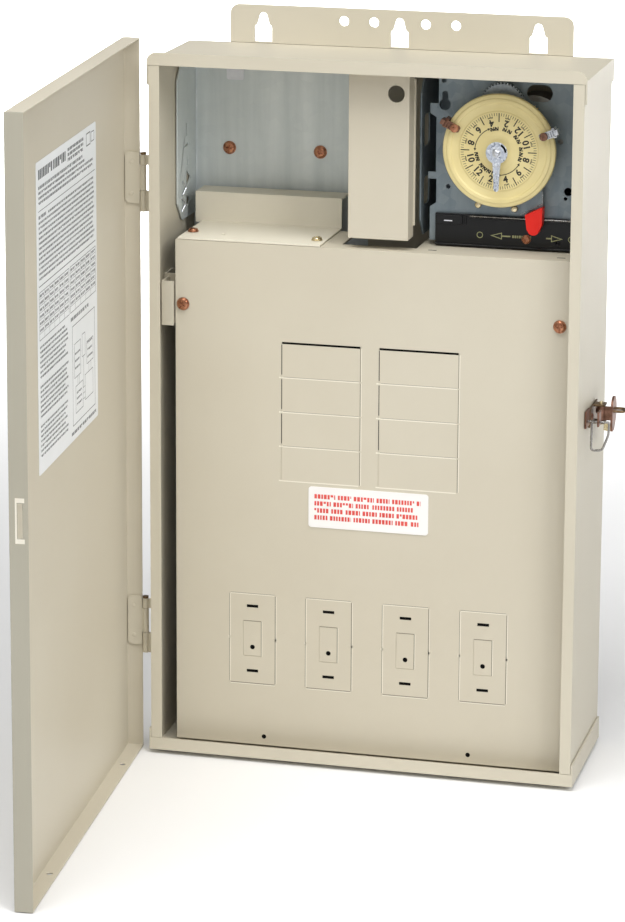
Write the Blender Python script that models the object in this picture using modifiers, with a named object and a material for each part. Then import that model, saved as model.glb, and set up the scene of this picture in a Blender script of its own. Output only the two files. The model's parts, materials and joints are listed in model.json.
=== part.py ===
"""Raintight wall panel with a 24 hour time switch, a dead front and a hinged door.

Lengths are in millimetres until to_world() turns them into metres.  X runs to the right,
Y into the wall and Z up.  Heights are counted from the underside of the enclosure, and
the world origin is the middle of the enclosure's back, on the wall.
"""
import math

import bmesh
import bpy
from mathutils import Matrix, Vector

MM = 0.001
GAP = 0.3                    # running gap between neighbouring pieces
SHEET = 1.2                  # steel sheet thickness

# Enclosure
WIDTH = 314.0
DEPTH = 111.0
HEIGHT = 508.0
HALF = WIDTH / 2
FRONT = -DEPTH
SIDE_FLANGE = 9.4            # front return of each side
BOTTOM_FLANGE = 9.1          # front return of the bottom cap
CAP_LIP = 16.2               # how far the end caps reach over the sides
HOOD_LOW = HEIGHT - 2.3      # lower and upper edge of the hood over the opening
HOOD_HIGH = HEIGHT + 6.8
HOOD_RADIUS = 7.0
BODY_HALF = HALF - SHEET - GAP

KNOCKOUT_X = (-96.0, -32.0, 32.0, 96.0)

# Mounting tab above the enclosure
TAB_LEFT, TAB_RIGHT = -126.0, 127.3
TAB_TOP = 536.0
TAB_RADIUS = 6.5
KEYHOLE_X = (-101.2, 0.4, 102.0)
TAB_HOLE_OFFSETS = (-41.3, -19.05, 19.05, 41.3)
TAB_HOLE_Z = 526.5
TAB_HOLE_RADIUS = 3.7
TAB_THICKNESS = 2 * SHEET    # the tab is the back sheet folded double

# Dead front
DF_FACE = FRONT + 17.0
DF_LEFT, DF_RIGHT = -141.0, 150.5
DF_LOW, DF_HIGH = 4.6, 378.4
BREAKER_COLUMNS = ((-62.2, -4.4), (9.2, 66.9))
BREAKER_TOP = 307.5
BREAKER_PITCH = 25.4
BREAKERS_PER_COLUMN = 4
DEVICE_X = (-83.6, -26.7, 30.3, 87.3)
DEVICE_WIDTH = 34.2
DEVICE_LOW, DEVICE_HIGH = 51.3, 119.3
TOGGLE_HALF = 6.6            # half width of the inner outline, which is twice as tall
DF_SCREW_Z = 331.7
DF_SCREW_X = (-135.3, 138.4)

# Time switch
DIAL_X, DIAL_Z = 90.4, 451.5
DIAL_RADIUS = 40.2
DIAL_BACK, DIAL_FRONT = -78.0, -82.5
PLATE_FRONT, PLATE_BACK = -62.2, -61.0
GEAR_MODULE = 0.75
DRUM_TEETH, IDLER_TEETH, PINION_TEETH = 40, 42, 14
GEAR_BACK, GEAR_FRONT = -68.6, -71.8
POST_RADIUS = 2.0
LEVER_X, LEVER_Z = 110.5, 436.0
GRIP_X = 114.6               # middle of the red grip
TRIPPER_ANGLES = {"tripper_on": 21.0, "tripper_off": 153.5}

# Door, modelled closed and then turned to its resting angle
DOOR_OPEN = 85.6
HINGE_X = -HALF - 6.0
HINGE_Y = FRONT + 12.0
DOOR_LEFT = -HALF - 7.5
DOOR_RIGHT = HALF + 5.5
DOOR_SKIN = FRONT - 3.0
DOOR_RIM = FRONT + 9.5
DOOR_LOW, DOOR_HIGH = -3.0, 523.2
HINGE_CENTRES = {"upper": 423.0, "lower": 94.5}

# Latch on the right side
LATCH_Z = 261.0
LATCH_PIVOT_Y = -52.0
LATCH_HALF = 7.0             # half height of its bracket
LATCH_PLATE = 1.5
BAIL_Y, BAIL_Z = -80.0, 261.5
BAIL_REACH = 21.0
BAIL_WIRE = 0.9

BEIGE = (0.79, 0.76, 0.66)
GALVANISED = (0.55, 0.58, 0.60)
COPPER = (0.62, 0.36, 0.22)
YELLOW_ZINC = (0.55, 0.44, 0.28)
BLACK = (0.03, 0.03, 0.035)
CREAM = (0.90, 0.80, 0.50)
RED = (0.82, 0.07, 0.04)
SILVER = (0.75, 0.76, 0.78)
WHITE = (0.90, 0.90, 0.88)
TIN = (0.66, 0.66, 0.64)


def to_world(x, y, z):
    """A point in millimetres above the enclosure's underside, as world metres."""
    return Vector((x * MM, y * MM, (z - HEIGHT / 2) * MM))


def clear_scene():
    for old in list(bpy.data.objects):
        bpy.data.objects.remove(old, do_unlink=True)


def collection(name):
    found = bpy.data.collections.get(name) or bpy.data.collections.new(name)
    if name not in bpy.context.scene.collection.children:
        bpy.context.scene.collection.children.link(found)
    return found


def material(name, colour, roughness, metallic):
    made = bpy.data.materials.new(name)
    made.use_nodes = True
    shader = made.node_tree.nodes["Principled BSDF"]
    shader.inputs["Base Color"].default_value = (*colour, 1.0)
    shader.inputs["Roughness"].default_value = roughness
    shader.inputs["Metallic"].default_value = metallic
    return made


def mesh_object(name, bm):
    bmesh.ops.recalc_face_normals(bm, faces=bm.faces)
    mesh = bpy.data.meshes.new(name)
    bm.to_mesh(mesh)
    bm.free()
    made = bpy.data.objects.new(name, mesh)
    collection("solid_panel").objects.link(made)
    return made


def block(x, y, z):
    """A box between the two ends given on each axis."""
    bm = bmesh.new()
    bmesh.ops.create_cube(bm, size=1.0)
    low = to_world(min(x), min(y), min(z))
    high = to_world(max(x), max(y), max(z))
    size = high - low
    bmesh.ops.scale(bm, vec=size, verts=bm.verts)
    bmesh.ops.translate(bm, vec=(low + high) / 2, verts=bm.verts)
    return mesh_object("block", bm)


def rod(start, end, radius, sides=20, end_radius=None):
    """A cylinder, or a cone when end_radius is given, from one point to another."""
    first, last = to_world(*start), to_world(*end)
    along = last - first
    bm = bmesh.new()
    bmesh.ops.create_cone(bm, cap_ends=True, segments=sides, radius1=radius * MM,
                          radius2=(radius if end_radius is None else end_radius) * MM,
                          depth=along.length)
    turn = Vector((0, 0, 1)).rotation_difference(along.normalized()).to_matrix().to_4x4()
    bmesh.ops.transform(bm, matrix=Matrix.Translation((first + last) / 2) @ turn, verts=bm.verts)
    return mesh_object("rod", bm)


def arc(cx, cz, radius, start, end, steps=6):
    """Points on an arc, angles in degrees counted anticlockwise as seen from the front."""
    angles = [math.radians(start + (end - start) * i / steps) for i in range(steps + 1)]
    return [(cx + radius * math.cos(a), cz + radius * math.sin(a)) for a in angles]


def circle(cx, cz, radius, sides=20):
    return arc(cx, cz, radius, 0, 360 - 360 / sides, sides - 1)


def rounded_rectangle(x0, x1, z0, z1, radius, steps=4):
    return (arc(x1 - radius, z1 - radius, radius, 0, 90, steps)
            + arc(x0 + radius, z1 - radius, radius, 90, 180, steps)
            + arc(x0 + radius, z0 + radius, radius, 180, 270, steps)
            + arc(x1 - radius, z0 + radius, radius, 270, 360, steps))


def curve_solid(outlines, half_thickness):
    """Fill closed outlines, the inner ones being holes, and weld the result to one mesh."""
    curve = bpy.data.curves.new("outline", "CURVE")
    curve.dimensions = "2D"
    curve.fill_mode = "BOTH"
    curve.extrude = half_thickness
    for points in outlines:
        spline = curve.splines.new("POLY")
        spline.points.add(len(points) - 1)
        for slot, (a, b) in zip(spline.points, points):
            slot.co = (a, b, 0.0, 1.0)
        spline.use_cyclic_u = True
    source = bpy.data.objects.new("outline", curve)
    bpy.context.scene.collection.objects.link(source)
    bpy.context.view_layer.update()
    evaluated = source.evaluated_get(bpy.context.evaluated_depsgraph_get())
    mesh = bpy.data.meshes.new_from_object(evaluated)
    bm = bmesh.new()
    bm.from_mesh(mesh)
    bmesh.ops.remove_doubles(bm, verts=bm.verts, dist=0.000005)
    bpy.data.objects.remove(source, do_unlink=True)
    bpy.data.meshes.remove(mesh)
    bpy.data.curves.remove(curve)
    return bm


def plate(outlines, y):
    """A flat plate facing the front: outlines in (x, z), thickness between the two y values."""
    scaled = [[(a * MM, b * MM) for a, b in points] for points in outlines]
    bm = curve_solid(scaled, abs(y[1] - y[0]) / 2 * MM)
    upright = Matrix.Rotation(math.pi / 2, 4, "X")
    place = Matrix.Translation(to_world(0, (y[0] + y[1]) / 2, 0)) @ upright
    bmesh.ops.transform(bm, matrix=place, verts=bm.verts)
    return mesh_object("plate", bm)


def side_plate(outlines, x):
    """A flat plate facing sideways: outlines in (y, z), thickness between the two x values."""
    scaled = [[(a * MM, b * MM) for a, b in points] for points in outlines]
    bm = curve_solid(scaled, abs(x[1] - x[0]) / 2 * MM)
    stand = Matrix(((0, 0, 1, 0), (1, 0, 0, 0), (0, 1, 0, 0), (0, 0, 0, 1)))
    place = Matrix.Translation(to_world((x[0] + x[1]) / 2, 0, 0)) @ stand
    bmesh.ops.transform(bm, matrix=place, verts=bm.verts)
    return mesh_object("side_plate", bm)


def turned(profile, x, z, sides):
    """Turn a closed profile of (radius, y) points about the axis through (x, z) along Y."""
    bm = bmesh.new()
    ring = [bm.verts.new((r * MM, y * MM, 0.0)) for r, y in profile]
    for a, b in zip(ring, ring[1:] + ring[:1]):
        bm.edges.new((a, b))
    mesh = bpy.data.meshes.new("profile")
    bm.to_mesh(mesh)
    bm.free()
    made = bpy.data.objects.new("turned", mesh)
    collection("solid_panel").objects.link(made)
    screw = made.modifiers.new("turn", "SCREW")
    screw.axis = "Y"
    screw.steps = screw.render_steps = sides
    screw.use_merge_vertices = True
    screw.merge_threshold = 0.000005
    bake(made)
    bm = bmesh.new()
    bm.from_mesh(made.data)
    bmesh.ops.translate(bm, vec=to_world(x, 0, z), verts=bm.verts)
    bmesh.ops.recalc_face_normals(bm, faces=bm.faces)
    bm.to_mesh(made.data)
    bm.free()
    return made


def wire(points, radius, closed=False):
    """A bent wire through points, as one closed mesh."""
    curve = bpy.data.curves.new("wire", "CURVE")
    curve.dimensions = "3D"
    curve.bevel_depth = radius * MM
    curve.bevel_resolution = 2
    curve.use_fill_caps = not closed
    spline = curve.splines.new("POLY")
    spline.points.add(len(points) - 1)
    for slot, point in zip(spline.points, points):
        slot.co = (*to_world(*point), 1.0)
    spline.use_cyclic_u = closed
    source = bpy.data.objects.new("wire", curve)
    bpy.context.scene.collection.objects.link(source)
    bpy.context.view_layer.update()
    evaluated = source.evaluated_get(bpy.context.evaluated_depsgraph_get())
    mesh = bpy.data.meshes.new_from_object(evaluated)
    bm = bmesh.new()
    bm.from_mesh(mesh)
    bmesh.ops.remove_doubles(bm, verts=bm.verts, dist=0.000005)
    bpy.data.objects.remove(source, do_unlink=True)
    return mesh_object("wire", bm)


def bake(target):
    """Replace an object's mesh by its evaluated one, and drop the modifiers."""
    bpy.context.view_layer.update()
    evaluated = target.evaluated_get(bpy.context.evaluated_depsgraph_get())
    mesh = bpy.data.meshes.new_from_object(evaluated)
    target.modifiers.clear()
    target.data = mesh


def combine(base, others, operation):
    for other in others:
        step = base.modifiers.new(operation.lower(), "BOOLEAN")
        step.operation = operation
        step.solver = "EXACT"
        step.object = other
    bake(base)
    for other in others:
        bpy.data.objects.remove(other, do_unlink=True)
    return base


def cut(base, *others):
    return combine(base, others, "DIFFERENCE")


def join(base, *others):
    return combine(base, others, "UNION")


def finish(name, made, surface, origin=None, parent=None):
    """Name a piece, give it its material and set its origin, in millimetres."""
    made.name = name
    made.data.name = name
    made.data.materials.clear()
    made.data.materials.append(material(name, *surface))
    if origin is not None:
        point = to_world(*origin)
        made.data.transform(Matrix.Translation(-point))
        made.location = point
    if parent is not None:
        made.parent = parent
        made.matrix_parent_inverse = Matrix.Translation(parent.location).inverted()
    made.data.shade_smooth()
    made.data.set_sharp_from_angle(angle=math.radians(32))
    return made


PAINT = (BEIGE, 0.42, 0.0)
ZINC_SHEET = (GALVANISED, 0.38, 0.85)
COPPER_SCREW = (COPPER, 0.32, 0.9)
HARDWARE = (YELLOW_ZINC, 0.35, 0.85)
BLACK_PLASTIC = (BLACK, 0.35, 0.0)
PLATED = (SILVER, 0.3, 0.9)
STAMPED_STEEL = ((0.35, 0.36, 0.37), 0.4, 0.6)


# ---------------------------------------------------------------- enclosure

def keyhole(cx):
    """Hanging slot: a narrow round-topped neck over a wide mouth."""
    neck, mouth, top, shoulder, low = 3.2, 6.5, 530.6, 521.5, HEIGHT + 1.2
    bend = 1.6
    return ([(cx + mouth, low)] + arc(cx + mouth - bend, shoulder - bend, bend, 0, 90, 2)
            + arc(cx, top - neck, neck, 0, 180, 6)
            + arc(cx - mouth + bend, shoulder - bend, bend, 90, 180, 2) + [(cx - mouth, low)])


def enclosure_body():
    wall = SHEET
    shell = block((-BODY_HALF, BODY_HALF), (FRONT, 0), (SHEET + GAP, HEIGHT - SHEET - GAP))
    inner = BODY_HALF - wall
    cavity = block((-inner, inner), (FRONT + wall, -wall), (-20, HEIGHT + 20))
    opening = block((-HALF + SIDE_FLANGE, HALF - SIDE_FLANGE), (FRONT - 5, FRONT + 3 * wall),
                    (-20, HEIGHT + 20))
    cap_edge = FRONT + SHEET + GAP
    low_notch = block((-HALF, HALF), (FRONT - 5, cap_edge), (-20, BOTTOM_FLANGE + GAP))
    high_notch = block((-HALF, HALF), (FRONT - 5, cap_edge), (HOOD_LOW - GAP, HEIGHT + 20))
    cut(shell, cavity, opening, low_notch, high_notch)
    outline = ([(TAB_LEFT, HEIGHT - 40), (TAB_RIGHT, HEIGHT - 40)]
               + arc(TAB_RIGHT - TAB_RADIUS, TAB_TOP - TAB_RADIUS, TAB_RADIUS, 0, 90, 5)
               + arc(TAB_LEFT + TAB_RADIUS, TAB_TOP - TAB_RADIUS, TAB_RADIUS, 90, 180, 5))
    fold = HEIGHT + GAP
    section = [(0, HEIGHT - 50), (0, TAB_TOP + 2), (-TAB_THICKNESS, TAB_TOP + 2),
               (-TAB_THICKNESS, fold), (-SHEET, fold), (-SHEET, HEIGHT - 50)]
    through = (-TAB_THICKNESS - 1, 1)
    tab = side_plate([section], (TAB_LEFT - 2, TAB_RIGHT + 2))
    combine(tab, [plate([outline], through)], "INTERSECT")
    join(shell, tab)
    cut(shell, *[plate([keyhole(x)], through) for x in KEYHOLE_X])
    for offset in TAB_HOLE_OFFSETS:
        x = KEYHOLE_X[1] + offset
        cut(shell, rod((x, through[0], TAB_HOLE_Z), (x, through[1], TAB_HOLE_Z), TAB_HOLE_RADIUS, 14))
    return finish("enclosure_body", shell, PAINT)


def top_end_cap():
    top = block((-HALF, HALF), (FRONT + 0.2, -SHEET - GAP), (HEIGHT - SHEET, HEIGHT))
    hood_outline = ([(-HALF, HOOD_LOW), (HALF, HOOD_LOW)]
                    + arc(HALF - HOOD_RADIUS, HOOD_HIGH - HOOD_RADIUS, HOOD_RADIUS, 0, 90, 5)
                    + arc(-HALF + HOOD_RADIUS, HOOD_HIGH - HOOD_RADIUS, HOOD_RADIUS, 90, 180, 5))
    hood = plate([hood_outline], (FRONT, FRONT + SHEET))
    lips = [block(sorted((side * (HALF - SHEET), side * HALF)), (FRONT + 0.1, -GAP),
                  (HEIGHT - CAP_LIP, HEIGHT - 0.1)) for side in (-1, 1)]
    join(top, hood, *lips)
    return finish("top_end_cap", top, PAINT)


def knockout_ring(cx, cy, outer, inner, depth=0.5):
    """A round groove in the underside, where a conduit plug is half sheared."""
    flat = [[(a * MM, b * MM) for a, b in circle(cx, cy, r, 16)] for r in (outer, inner)]
    bm = curve_solid(flat, (depth + 1) / 2 * MM)
    bmesh.ops.translate(bm, vec=to_world(0, 0, depth - (depth + 1) / 2), verts=bm.verts)
    return mesh_object("ring", bm)


def bottom_end_cap():
    base = block((-HALF, HALF), (FRONT + 0.2, -GAP), (0, SHEET))
    front = block((-HALF, HALF), (FRONT, FRONT + SHEET), (0, BOTTOM_FLANGE))
    lips = [block(sorted((side * (HALF - SHEET), side * HALF)), (FRONT + 0.1, -GAP - 0.1),
                  (0.1, CAP_LIP)) for side in (-1, 1)]
    join(base, front, *lips)
    for cx in KNOCKOUT_X:
        cut(base, knockout_ring(cx, -52.0, 15.0, 14.2))
    return finish("bottom_end_cap", base, PAINT)


# ---------------------------------------------------------------- inner sheet metal

CHASSIS_LEFT, CHASSIS_RIGHT = -153.6, -21.8
CHASSIS_BACK = -SHEET - GAP
CHASSIS_FACE = CHASSIS_BACK - SHEET


def flange_outline(front, low, high, chamfer_y, chamfer_z):
    return [(CHASSIS_BACK, low), (CHASSIS_BACK, high), (front + chamfer_y, high),
            (front, high - chamfer_z), (front, low + chamfer_z), (front + chamfer_y, low)]


def chassis_pan():
    back = block((CHASSIS_LEFT, CHASSIS_RIGHT), (CHASSIS_BACK, CHASSIS_FACE), (30, 503.0))
    slots = [rounded_rectangle(-27.0, -24.6, 441.5, 451.0, 0.8, 2),
             rounded_rectangle(-25.0, -23.0, 419.0, 426.5, 0.8, 2),
             [(-33.5, 433.5), (-22.5, 436.5), (-22.5, 433.8)],
             [(-26.5, 403.0), (-26.5, 416.0), (-15.5, 409.5)],
             [(-26.5, 386.5), (-26.5, 398.5), (-17.0, 392.5)]]
    left = side_plate([flange_outline(-49.0, 381.0, 499.5, 12.0, 14.0)] + slots,
                      (CHASSIS_LEFT, CHASSIS_LEFT + SHEET))
    right = side_plate([flange_outline(-56.0, 384.0, 501.0, 6.0, 14.0)],
                       (CHASSIS_RIGHT - SHEET, CHASSIS_RIGHT))
    join(back, left, right)
    return finish("chassis_pan", back, ZINC_SHEET)


def pan_screw(name, x, y, z, radius=4.9, tall=2.4, axis="Y", surface=COPPER_SCREW):
    """A pan-head screw lying on the face at y (axis Y) or standing on the shelf at z (axis Z)."""
    step = {"Y": (0, -1, 0), "Z": (0, 0, 1)}[axis]

    def at(distance):
        return (x + step[0] * distance, y + step[1] * distance, z + step[2] * distance)

    head = rod(at(0), at(tall * 0.55), radius, 16)
    crown = rod(at(tall * 0.5), at(tall), radius, 16, end_radius=radius * 0.62)
    join(head, crown)
    wide = radius * 2
    slot_depth = tall * 0.45
    if axis == "Y":
        slot = block((x - 0.5, x + 0.5), (y - tall - 1, y - tall + slot_depth), (z - wide, z + wide))
    else:
        slot = block((x - 0.5, x + 0.5), (y - wide, y + wide), (z + tall - slot_depth, z + tall + 1))
    cut(head, slot)
    return finish(name, head, surface)


def step_cover():
    """Z-shaped cover over the wiring space: foot, riser and top."""
    left, right = -144.6, -34.8
    foot_left = -139.6
    riser = FRONT + 81.0
    rear = FRONT + 104.4
    foot_low = DF_HIGH + GAP
    top = 401.6
    foot = block((foot_left, right), (DF_FACE + 0.6, riser + SHEET), (foot_low, foot_low + SHEET))
    wall = block((left, right), (riser, riser + SHEET), (foot_low + 0.1, top))
    roof = block((left, right), (riser + 0.1, rear), (top - SHEET, top))
    join(foot, wall, roof)
    cut(foot, rod((-110.8, FRONT + 37.0, 370), (-110.8, FRONT + 37.0, 390), 1.6, 12))
    return finish("step_cover", foot, PAINT)


def groove_frame(x0, x1, z0, z1, width, depth):
    """A rectangular groove in the dead front's face, as one cutter."""
    edges = []
    for spare in (width / 2, -width / 2):
        a0, a1, b0, b1 = x0 - spare, x1 + spare, z0 - spare, z1 + spare
        edges.append([(a0, b0), (a1, b0), (a1, b1), (a0, b1)])
    return plate(edges, (DF_FACE - 1, DF_FACE + depth))


def dead_front():
    groove, depth = 0.5, 0.35
    panel = block((DF_LEFT, DF_RIGHT), (DF_FACE, DF_FACE + SHEET), (DF_LOW, DF_HIGH))
    notch_left, notch_right = -22.0, 32.0
    notch_front = FRONT + 32.5
    shelf_rear = FRONT + 78.0
    behind = DF_FACE + 0.1
    shelf = block((DF_LEFT, DF_RIGHT), (behind, shelf_rear), (DF_HIGH - SHEET, DF_HIGH - 0.01))
    sides = [block(sorted((x, x + inward * SHEET)), (behind, DF_FACE + 14),
                   (DF_LOW + 0.1, DF_HIGH - 0.2))
             for x, inward in ((DF_LEFT + 0.01, 1), (DF_RIGHT - 0.01, -1))]
    sill = block((DF_LEFT + 0.5, DF_RIGHT - 0.5), (behind, DF_FACE + 13),
                 (DF_LOW + 0.01, DF_LOW + SHEET))
    join(panel, shelf, sill, *sides)
    cut(panel, block((notch_left, notch_right), (notch_front, shelf_rear + 5), (370, 390)))
    for x0, x1 in BREAKER_COLUMNS:
        for row in range(BREAKERS_PER_COLUMN):
            z1 = BREAKER_TOP - row * BREAKER_PITCH
            cut(panel, groove_frame(x0, x1, z1 - BREAKER_PITCH, z1, groove, depth))
        slit = block((x0, x1), (DF_FACE - 1, DF_FACE + 3),
                     (BREAKER_TOP - 0.6, BREAKER_TOP + 0.6))
        cut(panel, slit)
    slot_half, slot_inset, slot_half_height = 4.3, 9.4, 1.1
    for cx in DEVICE_X:
        x0, x1 = cx - DEVICE_WIDTH / 2, cx + DEVICE_WIDTH / 2
        middle = (DEVICE_LOW + DEVICE_HIGH) / 2
        toggle = groove_frame(cx - TOGGLE_HALF, cx + TOGGLE_HALF, middle - 2 * TOGGLE_HALF,
                              middle + 2 * TOGGLE_HALF, groove, depth)
        cut(panel, groove_frame(x0, x1, DEVICE_LOW, DEVICE_HIGH, groove, depth), toggle)
        for z in (DEVICE_LOW + slot_inset, DEVICE_HIGH - slot_inset):
            cut(panel, block((cx - slot_half, cx + slot_half), (DF_FACE - 1, DF_FACE + 3),
                             (z - slot_half_height, z + slot_half_height)))
        hole_z = middle - 6.5
        cut(panel, rod((cx, DF_FACE - 1, hole_z), (cx, DF_FACE + 3, hole_z), 1.8, 12))
    foot_z = 11.0
    for x in (-74.8, 77.4):
        cut(panel, rod((x, DF_FACE - 1, foot_z), (x, DF_FACE + 3, foot_z), 1.75, 12))
    return finish("dead_front", panel, PAINT)


def dead_front_bracket(name, side):
    """Angle welded to a side wall, which the dead front's screw goes into."""
    wall = side * (BODY_HALF - SHEET - GAP)
    tongue_end = side * 127.5
    low, high = 313.5, 350.0
    face = DF_FACE + SHEET + GAP
    depth = 18.0
    inner = side * (abs(wall) - SHEET)
    seat = face + 14.0
    tongue = block(sorted((wall, tongue_end)), (seat, seat + SHEET), (low, high))
    leg = block(sorted((wall, inner)), (seat + 0.1, seat + depth), (low + 0.1, high - 0.1))
    boss_x = DF_SCREW_X[0] if side < 0 else DF_SCREW_X[1]
    boss = rod((boss_x, face, DF_SCREW_Z), (boss_x, seat + 0.5, DF_SCREW_Z), 4.0, 14)
    join(tongue, leg, boss)
    if side < 0:
        ear_left, ear_face = -151.0, face - 3.0
        ear = block((ear_left, DF_LEFT - 1.0), (ear_face, ear_face + SHEET), (low + 2, high - 2))
        web = block((ear_left, ear_left + SHEET), (ear_face + 0.1, seat + 0.2), (low + 2, high - 2))
        join(tongue, ear, web)
    return finish(name, tongue, PAINT)


def label_plate(name, x0, x1, z0, z1, back, thick, radius):
    outline = rounded_rectangle(x0, x1, z0, z1, radius, 3)
    return finish(name, plate([outline], (back - thick, back)), (WHITE, 0.5, 0.0))


def wiring_channel_cover():
    left, right = -15.2, 28.3
    face, rear = FRONT + 20.0, FRONT + 37.0
    low, high = 386.0, HEIGHT - SHEET - GAP
    body = block((left, right), (face, rear), (low, high))
    hollow = block((left + SHEET, right - SHEET), (face + SHEET, rear + 5),
                   (low + SHEET, high - SHEET))
    hole = rod((18.9, face - 2, 490.0), (18.9, face + 4, 490.0), 6.0, 20)
    cut(body, hollow, hole)
    ears = [block((x0, x1), (rear - SHEET, rear), (low + 8, high - 8)) for x0, x1 in
            ((left - 3.0, left + 0.6), (right - 0.6, right + 1.2))]
    join(body, *ears)
    return finish("wiring_channel_cover", body, PAINT)


def switch_partition():
    x = 30.4
    outline = flange_outline(-65.0, 384.0, 499.0, 10.0, 12.0)
    windows = [rounded_rectangle(-56.0, -38.0, 447.0, 470.0, 4.0, 3),
               rounded_rectangle(-56.0, -38.0, 405.0, 425.0, 4.0, 3)]
    wall = side_plate([outline] + windows, (x, x + SHEET))
    foot = block((x, x + 16.0), (CHASSIS_FACE, CHASSIS_BACK), (390, 495))
    join(wall, foot)
    return finish("switch_partition", wall, ZINC_SHEET)


# ---------------------------------------------------------------- bus assembly

BUS_REAR = CHASSIS_FACE - GAP
BUS_FACE = -34.0


def bus_base():
    base = block((-17.0, 22.0), (BUS_REAR, BUS_FACE), (196.0, 318.0))
    feet = [block((-56.0, 61.0), (BUS_REAR, BUS_REAR - 9.0), (z, z + 16.0)) for z in (204.0, 292.0)]
    join(base, *feet)
    for row in range(1, BREAKERS_PER_COLUMN):
        z = BREAKER_TOP - row * BREAKER_PITCH
        cut(base, block((-19, 24), (BUS_FACE - 1, BUS_FACE + 6), (z - 1.2, z + 1.2)))
    return finish("bus_base", base, BLACK_PLASTIC)


def bus_bar(name, x0, x1, lug_z):
    """A flat bar with one stab for each breaker and a lug at one end."""
    rear = BUS_FACE - GAP
    bar = block((x0, x1), (rear - 2.4, rear), (200.0, 316.0))
    middle = (x0 + x1) / 2
    heights = [BREAKER_TOP - (row + 0.5) * BREAKER_PITCH for row in range(BREAKERS_PER_COLUMN)]
    stabs = [block((middle - 1.2, middle + 1.2), (rear - 12.0, rear - 2.0), (z - 6.0, z + 6.0))
             for z in heights]
    join(bar, *stabs)
    lug = block((x0 - 1.0, x1 + 1.0), (rear - 14.0, rear - 1.0), (lug_z, lug_z + 16.0))
    join(bar, lug)
    bore = rod((middle, rear - 8.0, lug_z - 2), (middle, rear - 8.0, lug_z + 18), 4.2, 14)
    cut(bar, bore)
    return finish(name, bar, (TIN, 0.4, 0.9))


def terminal_bar(name, x, z0, z1, rear):
    """A bar of wire terminals on two feet."""
    bar = block((x - 5, x + 5), (-22.0, -12.0), (z0, z1))
    feet = [block((x - 5, x + 5), (-12.5, rear), (z, z + 9)) for z in (z0 + 4, z1 - 13)]
    join(bar, *feet)
    spacing = 20.0
    for index in range(int((z1 - z0) / spacing)):
        z = z0 + spacing / 2 + index * spacing
        cut(bar, rod((x - 8, -17.0, z), (x + 8, -17.0, z), 2.4, 8))
    return finish(name, bar, (TIN, 0.4, 0.9))


# ---------------------------------------------------------------- time switch

def mechanism_plate():
    left, right, low, high = 43.0, 149.0, 382.0, 501.0
    outline = [(left, high), (left, 480.0), (left - 6.0, 480.0), (left - 6.0, 473.0),
               (left - 1.5, 470.0), (left - 1.5, 431.0), (left - 7.0, 431.0), (left - 7.0, 426.0),
               (left - 1.0, 426.0), (left - 1.0, 409.0), (left - 5.5, 406.0), (left - 5.5, low),
               (right, low), (right, high)]
    keyhole_x = 47.6
    mouth = (arc(keyhole_x, 479.5, 4.2, 118, 422, 12) + arc(keyhole_x, 487.0, 2.2, 20, 160, 4))
    slot = rounded_rectangle(105.9, 124.3, 484.2, 496.4, 6.0, 4)
    holes = [circle(x, z, r, 12) for x, z, r in
             ((46.7, 496.6, 1.8), (50.6, 421.0, 1.7), (130.4, 456.8, 1.9), (136.6, 421.5, 3.0),
              (134.7, 416.4, 1.3))]
    pinion_x, pinion_z = pinion_centre()
    shaft_hole = circle(pinion_x, pinion_z, 2.6, 14)
    made = plate([outline, mouth, slot, shaft_hole] + holes, (PLATE_FRONT, PLATE_BACK))
    bridge = block((right - SHEET, right), (PLATE_FRONT + 0.1, CHASSIS_BACK), (388.0, 495.0))
    foot = block((120.0, right - 0.1), (CHASSIS_FACE, CHASSIS_BACK - 0.01), (394.0, 489.0))
    join(made, bridge, foot)
    return finish("mechanism_plate", made, ZINC_SHEET)


def gear_outline(cx, cz, teeth, phase):
    """Straight-flanked teeth with backlash; one tooth is centred on phase, in degrees."""
    pitch = 360.0 / teeth
    pitch_radius = teeth * GEAR_MODULE / 2
    tip, root = pitch_radius + 0.85 * GEAR_MODULE, pitch_radius - 1.15 * GEAR_MODULE
    points = []
    for tooth in range(teeth):
        middle = phase + tooth * pitch
        for radius, share in ((root, -0.30), (tip, -0.12), (tip, 0.12), (root, 0.30)):
            angle = math.radians(middle + share * pitch)
            points.append((cx + radius * math.cos(angle), cz + radius * math.sin(angle)))
    return points


IDLER_Z = DIAL_Z + (DRUM_TEETH + IDLER_TEETH) * GEAR_MODULE / 2


def pinion_centre():
    reach = (IDLER_TEETH + PINION_TEETH) * GEAR_MODULE / 2
    angle = math.radians(pinion_direction())
    return DIAL_X + reach * math.cos(angle), IDLER_Z + reach * math.sin(angle)


def pinion_direction():
    """The idler has a gap straight down, so it has one at every whole pitch from there."""
    pitch = 360.0 / IDLER_TEETH
    return -90.0 + pitch * 9


def drum_gear():
    """The wheel behind the dial, with a hub; a tooth points straight up."""
    bore = circle(DIAL_X, DIAL_Z, POST_RADIUS + GAP, 16)
    teeth = gear_outline(DIAL_X, DIAL_Z, DRUM_TEETH, 90.0)
    wheel = plate([teeth, bore], (GEAR_FRONT, GEAR_BACK))
    hub = plate([circle(DIAL_X, DIAL_Z, 6.5, 20), bore], (GEAR_FRONT - 1.6, GEAR_FRONT + 0.5))
    join(wheel, hub)
    return finish("drum_gear", wheel, STAMPED_STEEL, (DIAL_X, GEAR_BACK, DIAL_Z))


def idler_gear():
    pitch = 360.0 / IDLER_TEETH
    wheel = plate([gear_outline(DIAL_X, IDLER_Z, IDLER_TEETH, -90.0 + pitch / 2),
                   circle(DIAL_X, IDLER_Z, 1.8, 14)], (GEAR_FRONT, GEAR_BACK))
    return finish("idler_gear", wheel, STAMPED_STEEL, (DIAL_X, GEAR_BACK, IDLER_Z))


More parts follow.
